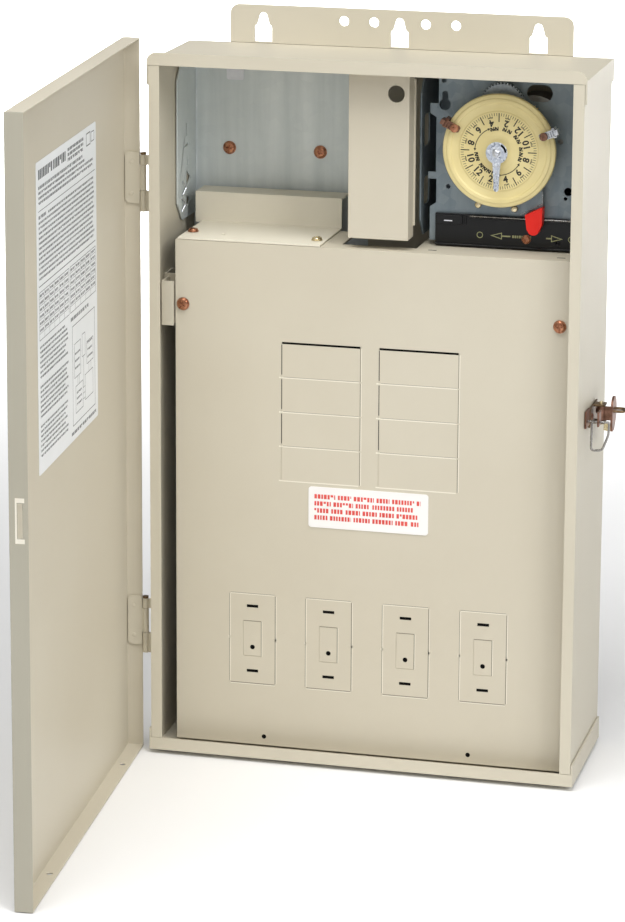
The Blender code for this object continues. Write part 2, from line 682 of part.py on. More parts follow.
def motor_pinion():
    x, z = pinion_centre()
    facing = pinion_direction() + 180.0
    wheel = plate([gear_outline(x, z, PINION_TEETH, facing)], (GEAR_FRONT, GEAR_BACK))
    shaft = rod((x, GEAR_BACK - 1, z), (x, PLATE_BACK + 2.0, z), 1.8, 14)
    join(wheel, shaft)
    return finish("motor_pinion", wheel, (YELLOW_ZINC, 0.3, 0.9), (x, GEAR_BACK, z))


def clock_motor():
    x, z = pinion_centre()
    can = rod((x, PLATE_BACK + GAP, z - 12), (x, -36.0, z - 12), 23.0, 28)
    coil = block((x - 16, x + 16), (PLATE_BACK + 4, -38.0), (z - 52, z - 28))
    join(can, coil)
    cut(can, rod((x, PLATE_BACK - 1, z), (x, PLATE_BACK + 5.0, z), 2.4, 14))
    return finish("clock_motor", can, ((0.45, 0.45, 0.44), 0.4, 0.7))


def stud(name, x, z, radius, front):
    flange = rod((x, PLATE_FRONT - GAP, z), (x, PLATE_FRONT - 2.2, z), radius + 2.0, 16)
    shank = rod((x, PLATE_FRONT - 2.0, z), (x, front, z), radius, 16)
    join(flange, shank)
    return finish(name, flange, PLATED)


def dial():
    """A turned dish: flat rim, shallow trough, printed band and a raised middle."""
    bore, front, rim = POST_RADIUS + GAP, DIAL_FRONT, DIAL_RADIUS - 2.2
    profile = [(bore, DIAL_BACK + 1.0), (bore, front - 1.0), (14.5, front - 1.0), (17.0, front + 0.2),
               (27.6, front + 0.2), (28.4, front + 0.9), (33.4, front + 0.9), (34.4, front - 0.1),
               (36.6, front - 0.1), (37.0, front + 0.6), (DIAL_RADIUS - 0.4, front + 1.0),
               (DIAL_RADIUS, front + 1.6), (DIAL_RADIUS, DIAL_BACK), (rim, DIAL_BACK),
               (rim, front + 2.6), (9.0, front + 2.6), (9.0, DIAL_BACK + 1.0)]
    made = turned(profile, DIAL_X, DIAL_Z, 44)
    return finish("dial", made, (CREAM, 0.45, 0.0), (DIAL_X, DIAL_BACK, DIAL_Z))


def time_pointer():
    """A fixed disc and hand on the centre post, pointing straight down."""
    back, front = DIAL_FRONT - 6.0, DIAL_FRONT - 7.2
    arm = ([(DIAL_X + 2.8, DIAL_Z - 5.0), (DIAL_X + 1.9, DIAL_Z - 26.0), (DIAL_X + 1.0, DIAL_Z - 27.5),
            (DIAL_X - 1.0, DIAL_Z - 27.5), (DIAL_X - 1.9, DIAL_Z - 26.0), (DIAL_X - 2.8, DIAL_Z - 5.0)])
    disc = plate([circle(DIAL_X, DIAL_Z, 7.8, 28)], (back, front))
    join(disc, plate([arm], (back - 0.1, front + 0.1)))
    cap = rod((DIAL_X, front + 0.5, DIAL_Z), (DIAL_X, front - 2.0, DIAL_Z), 3.4, 20, end_radius=2.6)
    join(disc, cap)
    return finish("time_pointer", disc, PLATED)


def polar(angle, radius):
    turn = math.radians(angle)
    return DIAL_X + radius * math.cos(turn), DIAL_Z + radius * math.sin(turn)


def turn_about_dial(made, angle):
    """Turn a piece built at three o'clock to its own place on the dial."""
    axis = Matrix.Translation(to_world(DIAL_X, 0, DIAL_Z))
    made.data.transform(axis @ Matrix.Rotation(-math.radians(angle), 4, "Y") @ axis.inverted())
    return made


TRIPPER_SCREW_RADIUS = 34.6


def tripper(name, surface):
    """A clip that grips the dial's rim from both sides."""
    def part(x, y, half):
        return block((DIAL_X + x[0], DIAL_X + x[1]), y, (DIAL_Z - half, DIAL_Z + half))

    front_leg = part((30.5, 43.4), (DIAL_FRONT - 1.9, DIAL_FRONT - 0.5), 2.6)
    web = part((DIAL_RADIUS + GAP + 0.1, 43.5), (DIAL_FRONT - 1.8, DIAL_BACK + 2.0), 3.6)
    back_leg = part((38.5, 43.4), (DIAL_BACK + GAP, DIAL_BACK + 1.9), 3.5)
    wing = part((42.4, 45.6), (DIAL_FRONT - 4.4, DIAL_BACK - 1.0), 2.0)
    join(front_leg, web, back_leg, wing)
    turn_about_dial(front_leg, TRIPPER_ANGLES[name])
    return finish(name, front_leg, surface, (DIAL_X, DIAL_BACK, DIAL_Z))


def tripper_screw(name):
    angle = TRIPPER_ANGLES[name]
    x, z = polar(angle, TRIPPER_SCREW_RADIUS)
    seat = DIAL_FRONT - 1.9 - GAP
    head = rod((x, seat, z), (x, seat - 2.4, z), 3.1, 16)
    turn = rod((x, seat - 2.3, z), (x, seat - 3.0, z), 3.0, 16, end_radius=2.4)
    join(head, turn)
    slot = block((x - 0.4, x + 0.4), (seat - 4.0, seat - 2.1), (z - 4, z + 4))
    cut(head, slot)
    return finish(name + "_screw", head, COPPER_SCREW, (x, seat, z))


def manual_lever():
    """Steel arm from its pivot behind the dial to the grip."""
    arm = [(114.5, 438.2), (108.4, 439.8), (106.3, 436.0), (105.2, 412.0), (104.0, 404.6),
           (GRIP_X - 0.6, 410.1), (GRIP_X - 0.6, 400.0), (GRIP_X + 5.4, 400.0),
           (GRIP_X + 5.4, 421.0), (117.5, 431.0)]
    bore = circle(LEVER_X, LEVER_Z, 1.8, 14)
    made = plate([arm, bore], (-69.4, -68.2))
    return finish("manual_lever", made, ZINC_SHEET, (LEVER_X, -68.8, LEVER_Z))


def lever_grip():
    """Red moulded cap over the end of the arm."""
    top, tip = 411.8, 391.0
    outline = ([(GRIP_X - 6.6, top - 5.5), (GRIP_X - 5.0, tip + 4.0)]
               + arc(GRIP_X, tip + 4.6, 4.6, 200, 320, 5)
               + [(GRIP_X + 6.4, tip + 7.5), (GRIP_X + 6.8, top), (GRIP_X + 4.8, top + 0.4)])
    made = plate([outline], (-75.6, -66.6))
    pocket = block((GRIP_X - 1.1, GRIP_X + 5.9), (-69.8, -67.8), (399.5, top + 4))
    cut(made, pocket)
    bevel = made.modifiers.new("edges", "BEVEL")
    bevel.width = 0.6 * MM
    bevel.segments = 1
    bevel.limit_method = "ANGLE"
    bevel.angle_limit = math.radians(50)
    bake(made)
    return finish("lever_grip", made, (RED, 0.35, 0.0), (LEVER_X, -68.8, LEVER_Z))


def insulator_plate():
    left, right, low, high = 42.0, 148.5, 379.2, 402.4
    face = -65.2
    made = block((left, right), (face, PLATE_FRONT - GAP), (low, high))
    rib = block((left + 24.0, right - 0.1), (face - 1.0, face + 0.2), (high - 3.2, high - 0.1))
    tab = block((left + 0.5, left + 20.0), (face - 1.6, face + 0.2), (high - 7.5, high - 0.6))
    ledge = block((left + 0.1, right - 0.1), (face - 1.4, face + 0.2), (low + 0.1, low + 1.6))
    join(made, rib, tab, ledge)
    cut(made, rod((130.4, face - 2, 385.5), (130.4, face + 2.0, 385.5), 1.6, 12))
    return finish("insulator_plate", made, BLACK_PLASTIC)


def contact_block():
    """Moulded switch base behind the plate, open in front of its moving arm."""
    front = PLATE_BACK + GAP
    made = block((44.0, 146.0), (front, -30.0), (384.0, 414.0))
    room = block((84.0, 116.0), (front - 2, -42.0), (388.0, 420.0))
    cut(made, room)
    for x in (52.0, 66.0, 124.0, 138.0):
        cut(made, block((x - 5.0, x + 5.0), (-40.0, -28.0), (380.0, 398.0)))
    feet = [block((x, x + 8), (-31.0, -6.0), (400.0, 412.0)) for x in (48.0, 104.0)]
    join(made, *feet)
    return finish("contact_block", made, BLACK_PLASTIC)


CONTACT_X, CONTACT_Z = 100.0, 408.0


def moving_contact():
    """Rocking arm that the manual lever throws; it turns in the switch base's room."""
    middle, tip_z = -51.5, CONTACT_Z - 12.6
    hub = rod((CONTACT_X, -57.0, CONTACT_Z), (CONTACT_X, -42.0 - GAP, CONTACT_Z), 3.4, 16)
    arm = block((CONTACT_X - 1.0, CONTACT_X + 1.0), (-55.5, -48.0), (CONTACT_Z - 15.0, CONTACT_Z))
    tip = rod((CONTACT_X - 2.2, middle, tip_z), (CONTACT_X + 2.2, middle, tip_z), 2.2, 12)
    join(hub, arm, tip)
    return finish("moving_contact", hub, (COPPER, 0.35, 0.9), (CONTACT_X, middle, CONTACT_Z))


# ---------------------------------------------------------------- door and hinges

def door_parts(axis):
    """Pieces that ride on the door, built closed and carried by the axis empty."""
    origin = (HINGE_X, HINGE_Y, HEIGHT / 2)
    skin = block((DOOR_LEFT, DOOR_RIGHT), (DOOR_SKIN, DOOR_RIM), (DOOR_LOW, DOOR_HIGH))
    inside = block((DOOR_LEFT + SHEET, DOOR_RIGHT - SHEET), (DOOR_SKIN + SHEET, DOOR_RIM + 5),
                   (DOOR_LOW + SHEET, DOOR_HIGH - SHEET))
    cut(skin, inside)
    for x in (-120.0, 96.0):
        cut(skin, rod((x, FRONT + 4.0, DOOR_LOW - 3), (x, FRONT + 4.0, DOOR_LOW + 5), 2.2, 12))
    window = block((DOOR_RIGHT - 3, DOOR_RIGHT + 3), (FRONT + 2.4, FRONT + 5.8),
                   (LATCH_Z - 11.5, LATCH_Z + 11.5))
    cut(skin, window)
    finish("door_pan", skin, PAINT, origin, axis)
    keeper_face = DOOR_RIGHT - SHEET - GAP
    keeper = block((keeper_face - SHEET, keeper_face), (DOOR_SKIN + SHEET + GAP, FRONT + 1.9),
                   (LATCH_Z - 15.0, LATCH_Z + 15.0))
    finish("latch_keeper", keeper, PAINT, origin, axis)
    sheet_left = DOOR_LEFT + 90.0
    sheet_right = DOOR_LEFT + 254.0
    back = DOOR_SKIN + SHEET
    paper = rounded_rectangle(sheet_left, sheet_right, 270.4, 477.8, 1.5, 2)
    sheet = plate([paper], (back + GAP, back + GAP + 0.2))
    finish("instruction_sheet", sheet, (WHITE, 0.5, 0.0), origin, axis)
    for place, centre in HINGE_CENTRES.items():
        door_leaf(place, centre, origin, axis)


KNUCKLE = 2.3
PIN = 1.1
LEAF_HALF = 18.5
DOOR_KNUCKLE_HALF = 9.0


def hinge_rod(low, high, radius, sides=16):
    return rod((HINGE_X, HINGE_Y, low), (HINGE_X, HINGE_Y, high), radius, sides)


def door_leaf(place, centre, origin, axis):
    """Leaf on the inside of the door's hinge-side rim, with the middle knuckle."""
    inner = DOOR_LEFT + SHEET + GAP
    near, far = HINGE_Y - KNUCKLE - GAP, DOOR_SKIN + SHEET + 0.8
    corner = 2.4
    low, high = centre - LEAF_HALF, centre + LEAF_HALF
    outline = [(near, low), (near, high), (far + corner, high), (far, high - corner),
               (far, low + corner), (far + corner, low)]
    leaf = side_plate([outline], (inner, inner + SHEET))
    neck = block((inner + 0.05, inner + SHEET - 0.05), (near - 1.0, HINGE_Y),
                 (centre - DOOR_KNUCKLE_HALF, centre + DOOR_KNUCKLE_HALF))
    join(leaf, neck, hinge_rod(centre - DOOR_KNUCKLE_HALF, centre + DOOR_KNUCKLE_HALF, KNUCKLE))
    reach = DOOR_KNUCKLE_HALF + 2
    cut(leaf, hinge_rod(centre - reach, centre + reach, PIN + GAP))
    finish("door_hinge_leaf_" + place, leaf, PAINT, origin, axis)


def box_leaf(place, centre):
    """Leaf on the enclosure's side, a little lower than the door's, with the two outer knuckles."""
    side = -BODY_HALF - GAP
    inner_end = DOOR_KNUCKLE_HALF + GAP
    low, high = centre - 24.5, centre + 16.5
    leaf = block((side - SHEET, side), (HINGE_Y - 2.5, HINGE_Y + 26.0), (low, high))
    for z0, z1 in ((low, centre - inner_end), (centre + inner_end, high)):
        web = block((HINGE_X, side - 0.1), (HINGE_Y - 0.6, HINGE_Y + 0.6), (z0 + 0.02, z1 - 0.02))
        join(leaf, web, hinge_rod(z0, z1, KNUCKLE))
    cut(leaf, hinge_rod(low - 5, high + 5, PIN + GAP))
    finish("box_hinge_leaf_" + place, leaf, PAINT)
    pin = hinge_rod(low, high + 1.0, PIN, 12)
    join(pin, hinge_rod(high + GAP, high + 1.8, 2.2, 12))
    finish("hinge_pin_" + place, pin, HARDWARE)


# ---------------------------------------------------------------- latch

LATCH_FACE = BODY_HALF + GAP
LATCH_PIN_X = LATCH_FACE + 6.0
LATCH_PIN, LATCH_BORE = 1.2, 1.5


def latch_pin_rod(half, radius, sides=14):
    x, y = LATCH_PIN_X, LATCH_PIVOT_Y
    return rod((x, y, LATCH_Z - half), (x, y, LATCH_Z + half), radius, sides)


def latch_base():
    """Riveted bracket with two ears that carry the lever's pin."""
    face, front, rear = LATCH_FACE, -70.5, -40.0
    low, high = LATCH_Z - LATCH_HALF, LATCH_Z + LATCH_HALF
    foot = block((face, face + LATCH_PLATE), (front, rear), (low, high))
    ears = [block((face + 0.1, face + 9.5), (LATCH_PIVOT_Y - 5.0, LATCH_PIVOT_Y + 5.0),
                  (z, z + LATCH_PLATE)) for z in (low + 0.01, high - LATCH_PLATE - 0.01)]
    lip = block((face + 0.1, face + 5.0), (front + 0.1, front + LATCH_PLATE), (low + 2, high - 2))
    join(foot, lip, *ears)
    rivets = [rod((face + 1.0, y, LATCH_Z), (face + 2.6, y, LATCH_Z), 2.6, 12)
              for y in (-64.0, -44.0)]
    join(foot, *rivets)
    cut(foot, latch_pin_rod(LATCH_HALF + 3, LATCH_BORE))
    return finish("latch_base", foot, HARDWARE)


def latch_pin():
    return finish("latch_pin", latch_pin_rod(LATCH_HALF + 1.5, LATCH_PIN, 12), HARDWARE)


def latch_lever():
    """Handle on the pin: an arched ear with a ring for a padlock, and a tongue below."""
    x, y, z = LATCH_PIN_X, LATCH_PIVOT_Y, LATCH_Z
    half = LATCH_HALF - LATCH_PLATE - GAP
    barrel = latch_pin_rod(half, 2.6, 16)
    web = block((x, x + 8.0), (y - 0.8, y + 0.8), (z - half + 0.1, z + half - 0.1))
    arch_y, arch_z, arch_radius = y + 8.0, z + 2.4, 8.6
    outline = (arc(arch_y, arch_z, arch_radius, 0, 180, 8)
               + [(y - 0.6, z - 8.0), (y + 1.0, z - 13.6), (y + 8.0, z - 13.6), (y + 16.6, z - 6.0)])
    ear = side_plate([outline], (x + 6.8, x + 8.4))
    under = z - LATCH_HALF - 0.4
    tongue = plate([[(x + 2.0, under), (x + 2.0, z - 12.6), (x + 7.0, z - 13.2), (x + 7.0, under)]],
                   (y - 0.8, y + 0.8))
    join(barrel, web, ear, tongue)
    cut(barrel, latch_pin_rod(LATCH_HALF, LATCH_BORE))
    start, ring_z = x + 8.0, z + 1.0
    ring = [(start + a, y + b, ring_z) for a, b in
            ((0, 3.0), (6.2, 3.0), (7.7, 4.5), (7.7, 10.5), (6.2, 12.0), (0, 12.0))]
    join(barrel, wire(ring, 1.1))
    return finish("latch_lever", barrel, HARDWARE, (x, y, z))


def bail_bracket():
    """Folded box on the side wall, open below, that the wire bail hangs from."""
    face, front, rear = LATCH_FACE, BAIL_Y - 6.0, -72.3
    low, high = BAIL_Z - 3.0, BAIL_Z + 8.0
    cheek_x = face + 8.6
    foot = block((face, face + LATCH_PLATE), (front, rear), (low - 1.5, high))
    roof = block((face + 0.1, cheek_x + LATCH_PLATE), (front + 0.1, rear - 0.1),
                 (high - LATCH_PLATE, high - 0.01))
    brow = block((face + 0.1, cheek_x + LATCH_PLATE - 0.1), (front + 0.01, front + LATCH_PLATE),
                 (BAIL_Z + 3.0, high - 0.1))
    cheek = block((cheek_x, cheek_x + LATCH_PLATE - 0.01), (front + 2.0, rear - 2.0), (low, high - 0.1))
    join(foot, roof, brow, cheek)
    cut(foot, rod((face - 1, BAIL_Y, BAIL_Z), (cheek_x + 4, BAIL_Y, BAIL_Z), BAIL_WIRE + 0.4, 12))
    return finish("bail_bracket", foot, HARDWARE)


def latch_bail():
    """Wire loop on its own cross bar, hanging straight down."""
    left, right = LATCH_FACE + 4.4, LATCH_FACE + 16.5
    low = BAIL_Z - BAIL_REACH
    loop = [(left, BAIL_Z), (left - 0.3, low + 3.0), (left + 1.0, low + 0.6), (left + 3.8, low - 0.4),
            (left + 7.3, low + 1.2), (right - 0.3, low + 12.0), (right, BAIL_Z)]
    made = wire([(x, BAIL_Y, z) for x, z in loop], BAIL_WIRE)
    bar = rod((LATCH_FACE + 0.5, BAIL_Y, BAIL_Z), (right + BAIL_WIRE, BAIL_Y, BAIL_Z), BAIL_WIRE, 12)
    join(bar, made)
    return finish("latch_bail", bar, PLATED, ((left + right) / 2, BAIL_Y, BAIL_Z))


# ---------------------------------------------------------------- assembly

def build():
    clear_scene()
    enclosure_body()
    top_end_cap()
    bottom_end_cap()
    chassis_pan()
    for name, x in (("chassis_screw_left", -126.4), ("chassis_screw_right", -57.7)):
        pan_screw(name, x, CHASSIS_FACE - GAP, 430.0)
    pad = plate([rounded_rectangle(-128.5, -115.5, 480.5, 493.0, 1.5, 2)],
                (CHASSIS_FACE - GAP, CHASSIS_FACE - 1.1))
    finish("cable_pad", pad, (SILVER, 0.4, 0.0))
    step_cover()
    for name, x, y in (("step_cover_screw_left", -134.5, -71.0), ("step_cover_screw_right", -41.1, -77.0)):
        pan_screw(name, x, y, DF_HIGH + GAP + SHEET + GAP, radius=4.0, axis="Z")
    dead_front()
    dead_front_bracket("dead_front_bracket_left", -1)
    dead_front_bracket("dead_front_bracket_right", 1)
    for name, x in zip(("dead_front_screw_left", "dead_front_screw_right"), DF_SCREW_X):
        pan_screw(name, x, DF_FACE - GAP, DF_SCREW_Z, radius=4.7)
    label_plate("warning_label", -42.0, 46.2, 173.0, 203.4, DF_FACE - GAP, 0.25, 2.0)
    wiring_channel_cover()
    switch_partition()
    bus_base()
    bus_bar("bus_bar_left", -13.0, -3.0, 303.0)
    bus_bar("bus_bar_right", 8.0, 18.0, 303.0)
    terminal_bar("neutral_bar", -112.0, 150.0, 300.0, BUS_REAR)
    terminal_bar("ground_bar", 112.0, 60.0, 180.0, CHASSIS_BACK)
    mechanism_plate()
    drum_gear()
    idler_gear()
    motor_pinion()
    clock_motor()
    stud("centre_post", DIAL_X, DIAL_Z, POST_RADIUS, DIAL_FRONT - 5.7)
    stud("idler_axle", DIAL_X, IDLER_Z, 1.5, GEAR_FRONT - 1.5)
    stud("lever_pivot", LEVER_X, LEVER_Z, 1.5, -71.0)
    dial()
    time_pointer()
    tripper("tripper_on", PLATED)
    tripper("tripper_off", COPPER_SCREW)
    tripper_screw("tripper_on")
    tripper_screw("tripper_off")
    manual_lever()
    lever_grip()
    insulator_plate()
    pan_screw("insulator_screw", 107.9, -65.2 - GAP, 386.6, radius=3.3, tall=2.0)
    contact_block()
    moving_contact()
    axis = bpy.data.objects.new("door_axis", None)
    collection("solid_panel").objects.link(axis)
    axis.location = to_world(HINGE_X, HINGE_Y, HEIGHT / 2)
    door_parts(axis)
    axis.rotation_euler = (0.0, 0.0, -math.radians(DOOR_OPEN))
    for place, centre in HINGE_CENTRES.items():
        box_leaf(place, centre)
    latch_base()
    latch_pin()
    latch_lever()
    bail_bracket()
    latch_bail()


build()
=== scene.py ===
"""Looks of the wall panel: a time switch, a dead front and a hinged door.

Heights are in millimetres above the underside of the enclosure, as in the solid model; X runs
to the right of the middle and Y into the wall. spot() turns them into the frame's metres.
"""
import json
import math
import random

import bmesh
import bpy
from mathutils import Matrix, Vector, geometry


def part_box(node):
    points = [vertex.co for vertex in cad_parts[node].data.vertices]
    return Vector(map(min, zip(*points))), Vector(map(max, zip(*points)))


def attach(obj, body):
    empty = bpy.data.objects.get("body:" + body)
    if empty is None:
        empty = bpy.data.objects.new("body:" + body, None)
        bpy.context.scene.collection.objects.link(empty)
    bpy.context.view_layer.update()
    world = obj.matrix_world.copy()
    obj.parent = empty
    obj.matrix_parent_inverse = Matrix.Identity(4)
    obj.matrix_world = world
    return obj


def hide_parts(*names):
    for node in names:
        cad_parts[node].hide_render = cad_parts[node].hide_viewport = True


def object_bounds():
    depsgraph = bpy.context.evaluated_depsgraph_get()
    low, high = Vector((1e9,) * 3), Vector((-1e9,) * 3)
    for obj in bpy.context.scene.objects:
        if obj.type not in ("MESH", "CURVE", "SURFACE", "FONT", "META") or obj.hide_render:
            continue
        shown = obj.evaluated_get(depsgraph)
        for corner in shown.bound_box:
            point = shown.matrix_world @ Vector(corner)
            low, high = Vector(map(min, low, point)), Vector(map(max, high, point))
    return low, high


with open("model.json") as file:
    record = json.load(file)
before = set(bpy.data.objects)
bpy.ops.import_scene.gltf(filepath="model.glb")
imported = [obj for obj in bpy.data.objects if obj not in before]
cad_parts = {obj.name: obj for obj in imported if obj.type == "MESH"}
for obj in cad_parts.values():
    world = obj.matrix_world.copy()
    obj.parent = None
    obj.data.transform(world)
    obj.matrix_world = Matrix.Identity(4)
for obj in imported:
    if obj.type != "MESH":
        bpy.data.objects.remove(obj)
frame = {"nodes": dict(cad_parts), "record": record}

random.seed(24)
CAD_LOW, CAD_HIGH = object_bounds()
NODES = frame["nodes"]

MM = 0.001
MIDDLE = 254.0
WELD = 0.000002
FORWARD, UPWARD, RIGHTWARD = Vector((0, -1, 0)), Vector((0, 0, 1)), Vector((1, 0, 0))

FRONT = -111.0
HINGE_X, HINGE_Y, DOOR_TURN = -163.0, -99.0, -85.6
DOOR_LEFT, DOOR_RIGHT, DOOR_LINING = -164.5, 162.5, -112.8
HINGE_HEIGHTS = (423.0, 94.5)
SHEET_LEFT, SHEET_RIGHT, SHEET_LOW, SHEET_HIGH = DOOR_LEFT + 90.0, DOOR_LEFT + 254.0, 270.4, 477.8

CHASSIS_CORNER, CHASSIS_FACE = -152.3, -2.7
SHELF_TOP = 378.3
PLATE_FACE = -62.2
DIAL_X, DIAL_Z, DIAL_FRONT, DIAL_BACK = 90.4, 451.5, -82.5, -78.0
DIAL_PRINT = DIAL_FRONT + 0.15
NUMBER_ANGLES = range(-75, 285, 30)
GRIP_X = 114.6
INSULATOR_FACE, INSULATOR_LOW, INSULATOR_HIGH = -65.2, 379.4, 402.2
INSULATOR_LEFT, INSULATOR_RIGHT = 42.2, 148.3

LATCH_FACE, LATCH_Z, LATCH_PIVOT, LATCH_HALF = 155.8, 261.0, -52.0, 7.0
LATCH_PIN_X, LATCH_SHEET = LATCH_FACE + 6.0, 1.45
BAIL_Y, BAIL_Z, BAIL_WIRE = -80.0, 261.5, 0.85

COVER_FACE = -94.0
TWIST_OUT_COLUMNS, TWIST_OUT_TOP, TWIST_OUT_PITCH = ((-62.2, -4.4), (9.2, 66.9)), 307.5, 25.4
DEVICE_CENTRES, DEVICE_HALF, TOGGLE_HALF = (-83.6, -26.7, 30.3, 87.3), 17.1, 6.6
DEVICE_LOW, DEVICE_HIGH = 51.3, 119.3


def spot(x, y, h):
    """A point of the object, in millimetres, as a place in the frame."""
    return Vector((x * MM, y * MM, (h - MIDDLE) * MM))


def linear(colour):
    """sRGB 0..255 to the renderer's linear values."""
    parts = [value / 255 for value in colour]
    return (*(v / 12.92 if v <= 0.04045 else ((v + 0.055) / 1.055) ** 2.4 for v in parts), 1.0)


def spread(start, stop, steps):
    """Evenly spaced values from start to stop, both included."""
    return [start + (stop - start) * k / steps for k in range(steps + 1)]


# ---------------- surfaces

class Surface:
    """A Principled shader with textures laid out in real size over the object."""

    def __init__(self, name, low, high, rough, metallic=0.0, grain=9.0, stretch=(1, 1, 1),
                 **sockets):
        self.material = bpy.data.materials.new(name)
        self.material.use_nodes = True
        self.tree = self.material.node_tree
        self.main = self.tree.nodes["Principled BSDF"]
        self.main.inputs["Metallic"].default_value = metallic
        for socket, value in sockets.items():
            self.main.inputs[socket.replace("_", " ")].default_value = value
        self.place = self.add("ShaderNodeTexCoord").outputs["Object"]
        field = self.noise(grain, 4, stretch)
        self.paint(self.mixed(self.ranged(field, 0.0, 1.0), low, high))
        self.link(self.ranged(field, *rough), self.main.inputs["Roughness"])

    def add(self, kind, **settings):
        node = self.tree.nodes.new(kind)
        for key, value in settings.items():
            setattr(node, key, value)
        return node

    def link(self, source, target):
        self.tree.links.new(source, target)

    def placed(self, stretch):
        """The object's own coordinates in metres, stretched along each axis."""
        mapping = self.add("ShaderNodeMapping")
        mapping.inputs["Scale"].default_value = stretch
        self.link(self.place, mapping.inputs["Vector"])
        return mapping.outputs["Vector"]

    def noise(self, scale, detail=2, stretch=(1, 1, 1)):
        node = self.add("ShaderNodeTexNoise")
        node.inputs["Scale"].default_value = scale
        node.inputs["Detail"].default_value = detail
        self.link(self.placed(stretch), node.inputs["Vector"])
        return node.outputs["Fac"]

    def cells(self, scale):
        """One flat grey per crystal."""
        node = self.add("ShaderNodeTexVoronoi")
        node.inputs["Scale"].default_value = scale
        self.link(self.placed((1, 1, 1)), node.inputs["Vector"])
        split = self.add("ShaderNodeSeparateColor")
        self.link(node.outputs["Color"], split.inputs["Color"])
        return split.outputs["Red"]

    def ranged(self, source, low, high, start=0.3, stop=0.7):
        """Carry start..stop of the source over to low..high."""
        node = self.add("ShaderNodeMapRange")
        limits = {"From Min": start, "From Max": stop, "To Min": low, "To Max": high}
        for key, value in limits.items():
            node.inputs[key].default_value = value
        self.link(source, node.inputs["Value"])
        return node.outputs["Result"]

    def mixed(self, factor, low, high):
        """Blend two colours, each given as sRGB or as a socket."""
        node = self.add("ShaderNodeMix", data_type="RGBA")
        for index, colour in ((6, low), (7, high)):
            if hasattr(colour, "links"):
                self.link(colour, node.inputs[index])
            else:
                node.inputs[index].default_value = linear(colour)
        self.link(factor, node.inputs[0])
        return node.outputs[2]

    def paint(self, colour):
        self.colour = colour
        self.link(colour, self.main.inputs["Base Color"])

    def speck(self, colour, scale, threshold, width=0.04):
        """Scattered flecks of another colour over what is there."""
        field = self.ranged(self.noise(scale, 3), 0.0, 1.0, threshold, threshold + width)
        self.paint(self.mixed(field, self.colour, colour))

    def painted_shade_along_y(self, colour, start, stop, most):
        """Painted shade: blend towards the colour where Y in mm runs from start, none, to stop, at its
        most.
        """
        split = self.add("ShaderNodeSeparateXYZ")
        self.link(self.place, split.inputs["Vector"])
        field = self.ranged(split.outputs["Y"], most, 0.0, stop * MM, start * MM)
        self.paint(self.mixed(field, self.colour, colour))

    def bump(self, field, depth_mm, strength):
        """Relief from a field, on top of any relief that is there."""
        node = self.add("ShaderNodeBump")
        node.inputs["Distance"].default_value = depth_mm * MM
        node.inputs["Strength"].default_value = strength
        self.link(field, node.inputs["Height"])
        previous = self.main.inputs["Normal"].links
        if previous:
            self.link(previous[0].from_socket, node.inputs["Normal"])
        self.link(node.outputs["Normal"], self.main.inputs["Normal"])
        return self


def powder(name, low, high):
    """Powder coat: fine orange peel over a slow waviness."""
    made = Surface(name, low, high, (0.42, 0.5), grain=6.0)
    made.bump(made.noise(700), 0.02, 0.35)
    return made.bump(made.noise(14, 3), 0.12, 0.25)


def zinc_sheet(name, low, high, metallic):
    """Galvanised sheet: faint crystals and drawn vertical streaks."""
    made = Surface(name, low, high, (0.36, 0.52), metallic, grain=5.0, stretch=(16, 3, 1.2))
    crystals = made.ranged(made.cells(160), 0.0, 0.16, 0.0, 1.0)
    made.paint(made.mixed(crystals, made.colour, (196, 204, 208)))
    return made.bump(made.noise(900, stretch=(1, 1, 0.06)), 0.01, 0.5)


def plating(name, low, high, rough=(0.22, 0.38), metallic=0.9, grain=320):
    """Plated metal with a mottled tint and a fine grain."""
    made = Surface(name, low, high, rough, metallic, grain)
    return made.bump(made.noise(1500), 0.01, 0.5)


def plastic(name, low, high, rough=(0.2, 0.3), grain=60, **sockets):
    """Moulded plastic, enamel, film or ink."""
    made = Surface(name, low, high, rough, grain=grain, **sockets)
    return made.bump(made.noise(1100), 0.01, 0.4)


PAINT_BODY = powder("beige_powder_coat_box", (200, 193, 174), (206, 199, 181))
PAINT_INNER = powder("beige_powder_coat_covers", (200, 192, 173), (206, 199, 181))
PAINT_DOOR = powder("beige_powder_coat_door", (201, 193, 174), (207, 200, 182))
# Painted shade on the door's free-edge lip, where Y lies beyond -423.4 mm.
PAINT_DOOR.painted_shade_along_y((146, 144, 130), -422.9, -423.4, 0.62)
# The beige powder coat made lighter on the step cover: painted light for its recessed faces.
PAINT_STEP_LIT = powder("beige_powder_coat_step_painted_light", (226, 220, 202), (232, 226, 210))
ZINC = zinc_sheet("galvanised_sheet", (208, 216, 216), (232, 238, 238), 0.2)
ZINC_BLUE = zinc_sheet("galvanised_switch_plate", (112, 126, 134), (140, 152, 158), 0.35)
COPPER = plating("copper_chromate", (152, 98, 72), (198, 142, 110))
COPPER_DARK = plating("worn_copper_chromate", (108, 78, 64), (156, 118, 100), (0.3, 0.48))
BRONZE = plating("olive_bronze_zinc", (92, 74, 54), (140, 116, 88), (0.3, 0.46))
GOLD = plating("yellow_zinc_bright", (214, 196, 150), (240, 226, 190), (0.18, 0.3))
SILVER = plating("bright_zinc", (186, 190, 196), (226, 229, 234))
STEEL_WIRE = plating("bright_wire", (128, 126, 124), (170, 167, 163), (0.2, 0.32))
GEAR = plating("stamped_gear_steel", (136, 143, 147), (166, 173, 177), (0.36, 0.5), 0.7)
BRASS = plating("turned_brass", (178, 150, 92), (206, 180, 122), (0.24, 0.36))
CAN = plating("drawn_can", (128, 126, 120), (152, 150, 144), (0.3, 0.42), 0.8)
TIN = plating("tinned_bar", (168, 168, 162), (190, 190, 186), (0.34, 0.5), 0.8)
BLACK = plastic("black_moulding", (9, 10, 11), (15, 16, 17), (0.26, 0.36), Specular_IOR_Level=0.35)
BLACK_INSIDE = plastic("black_base", (14, 14, 15), (22, 22, 24), (0.4, 0.55))
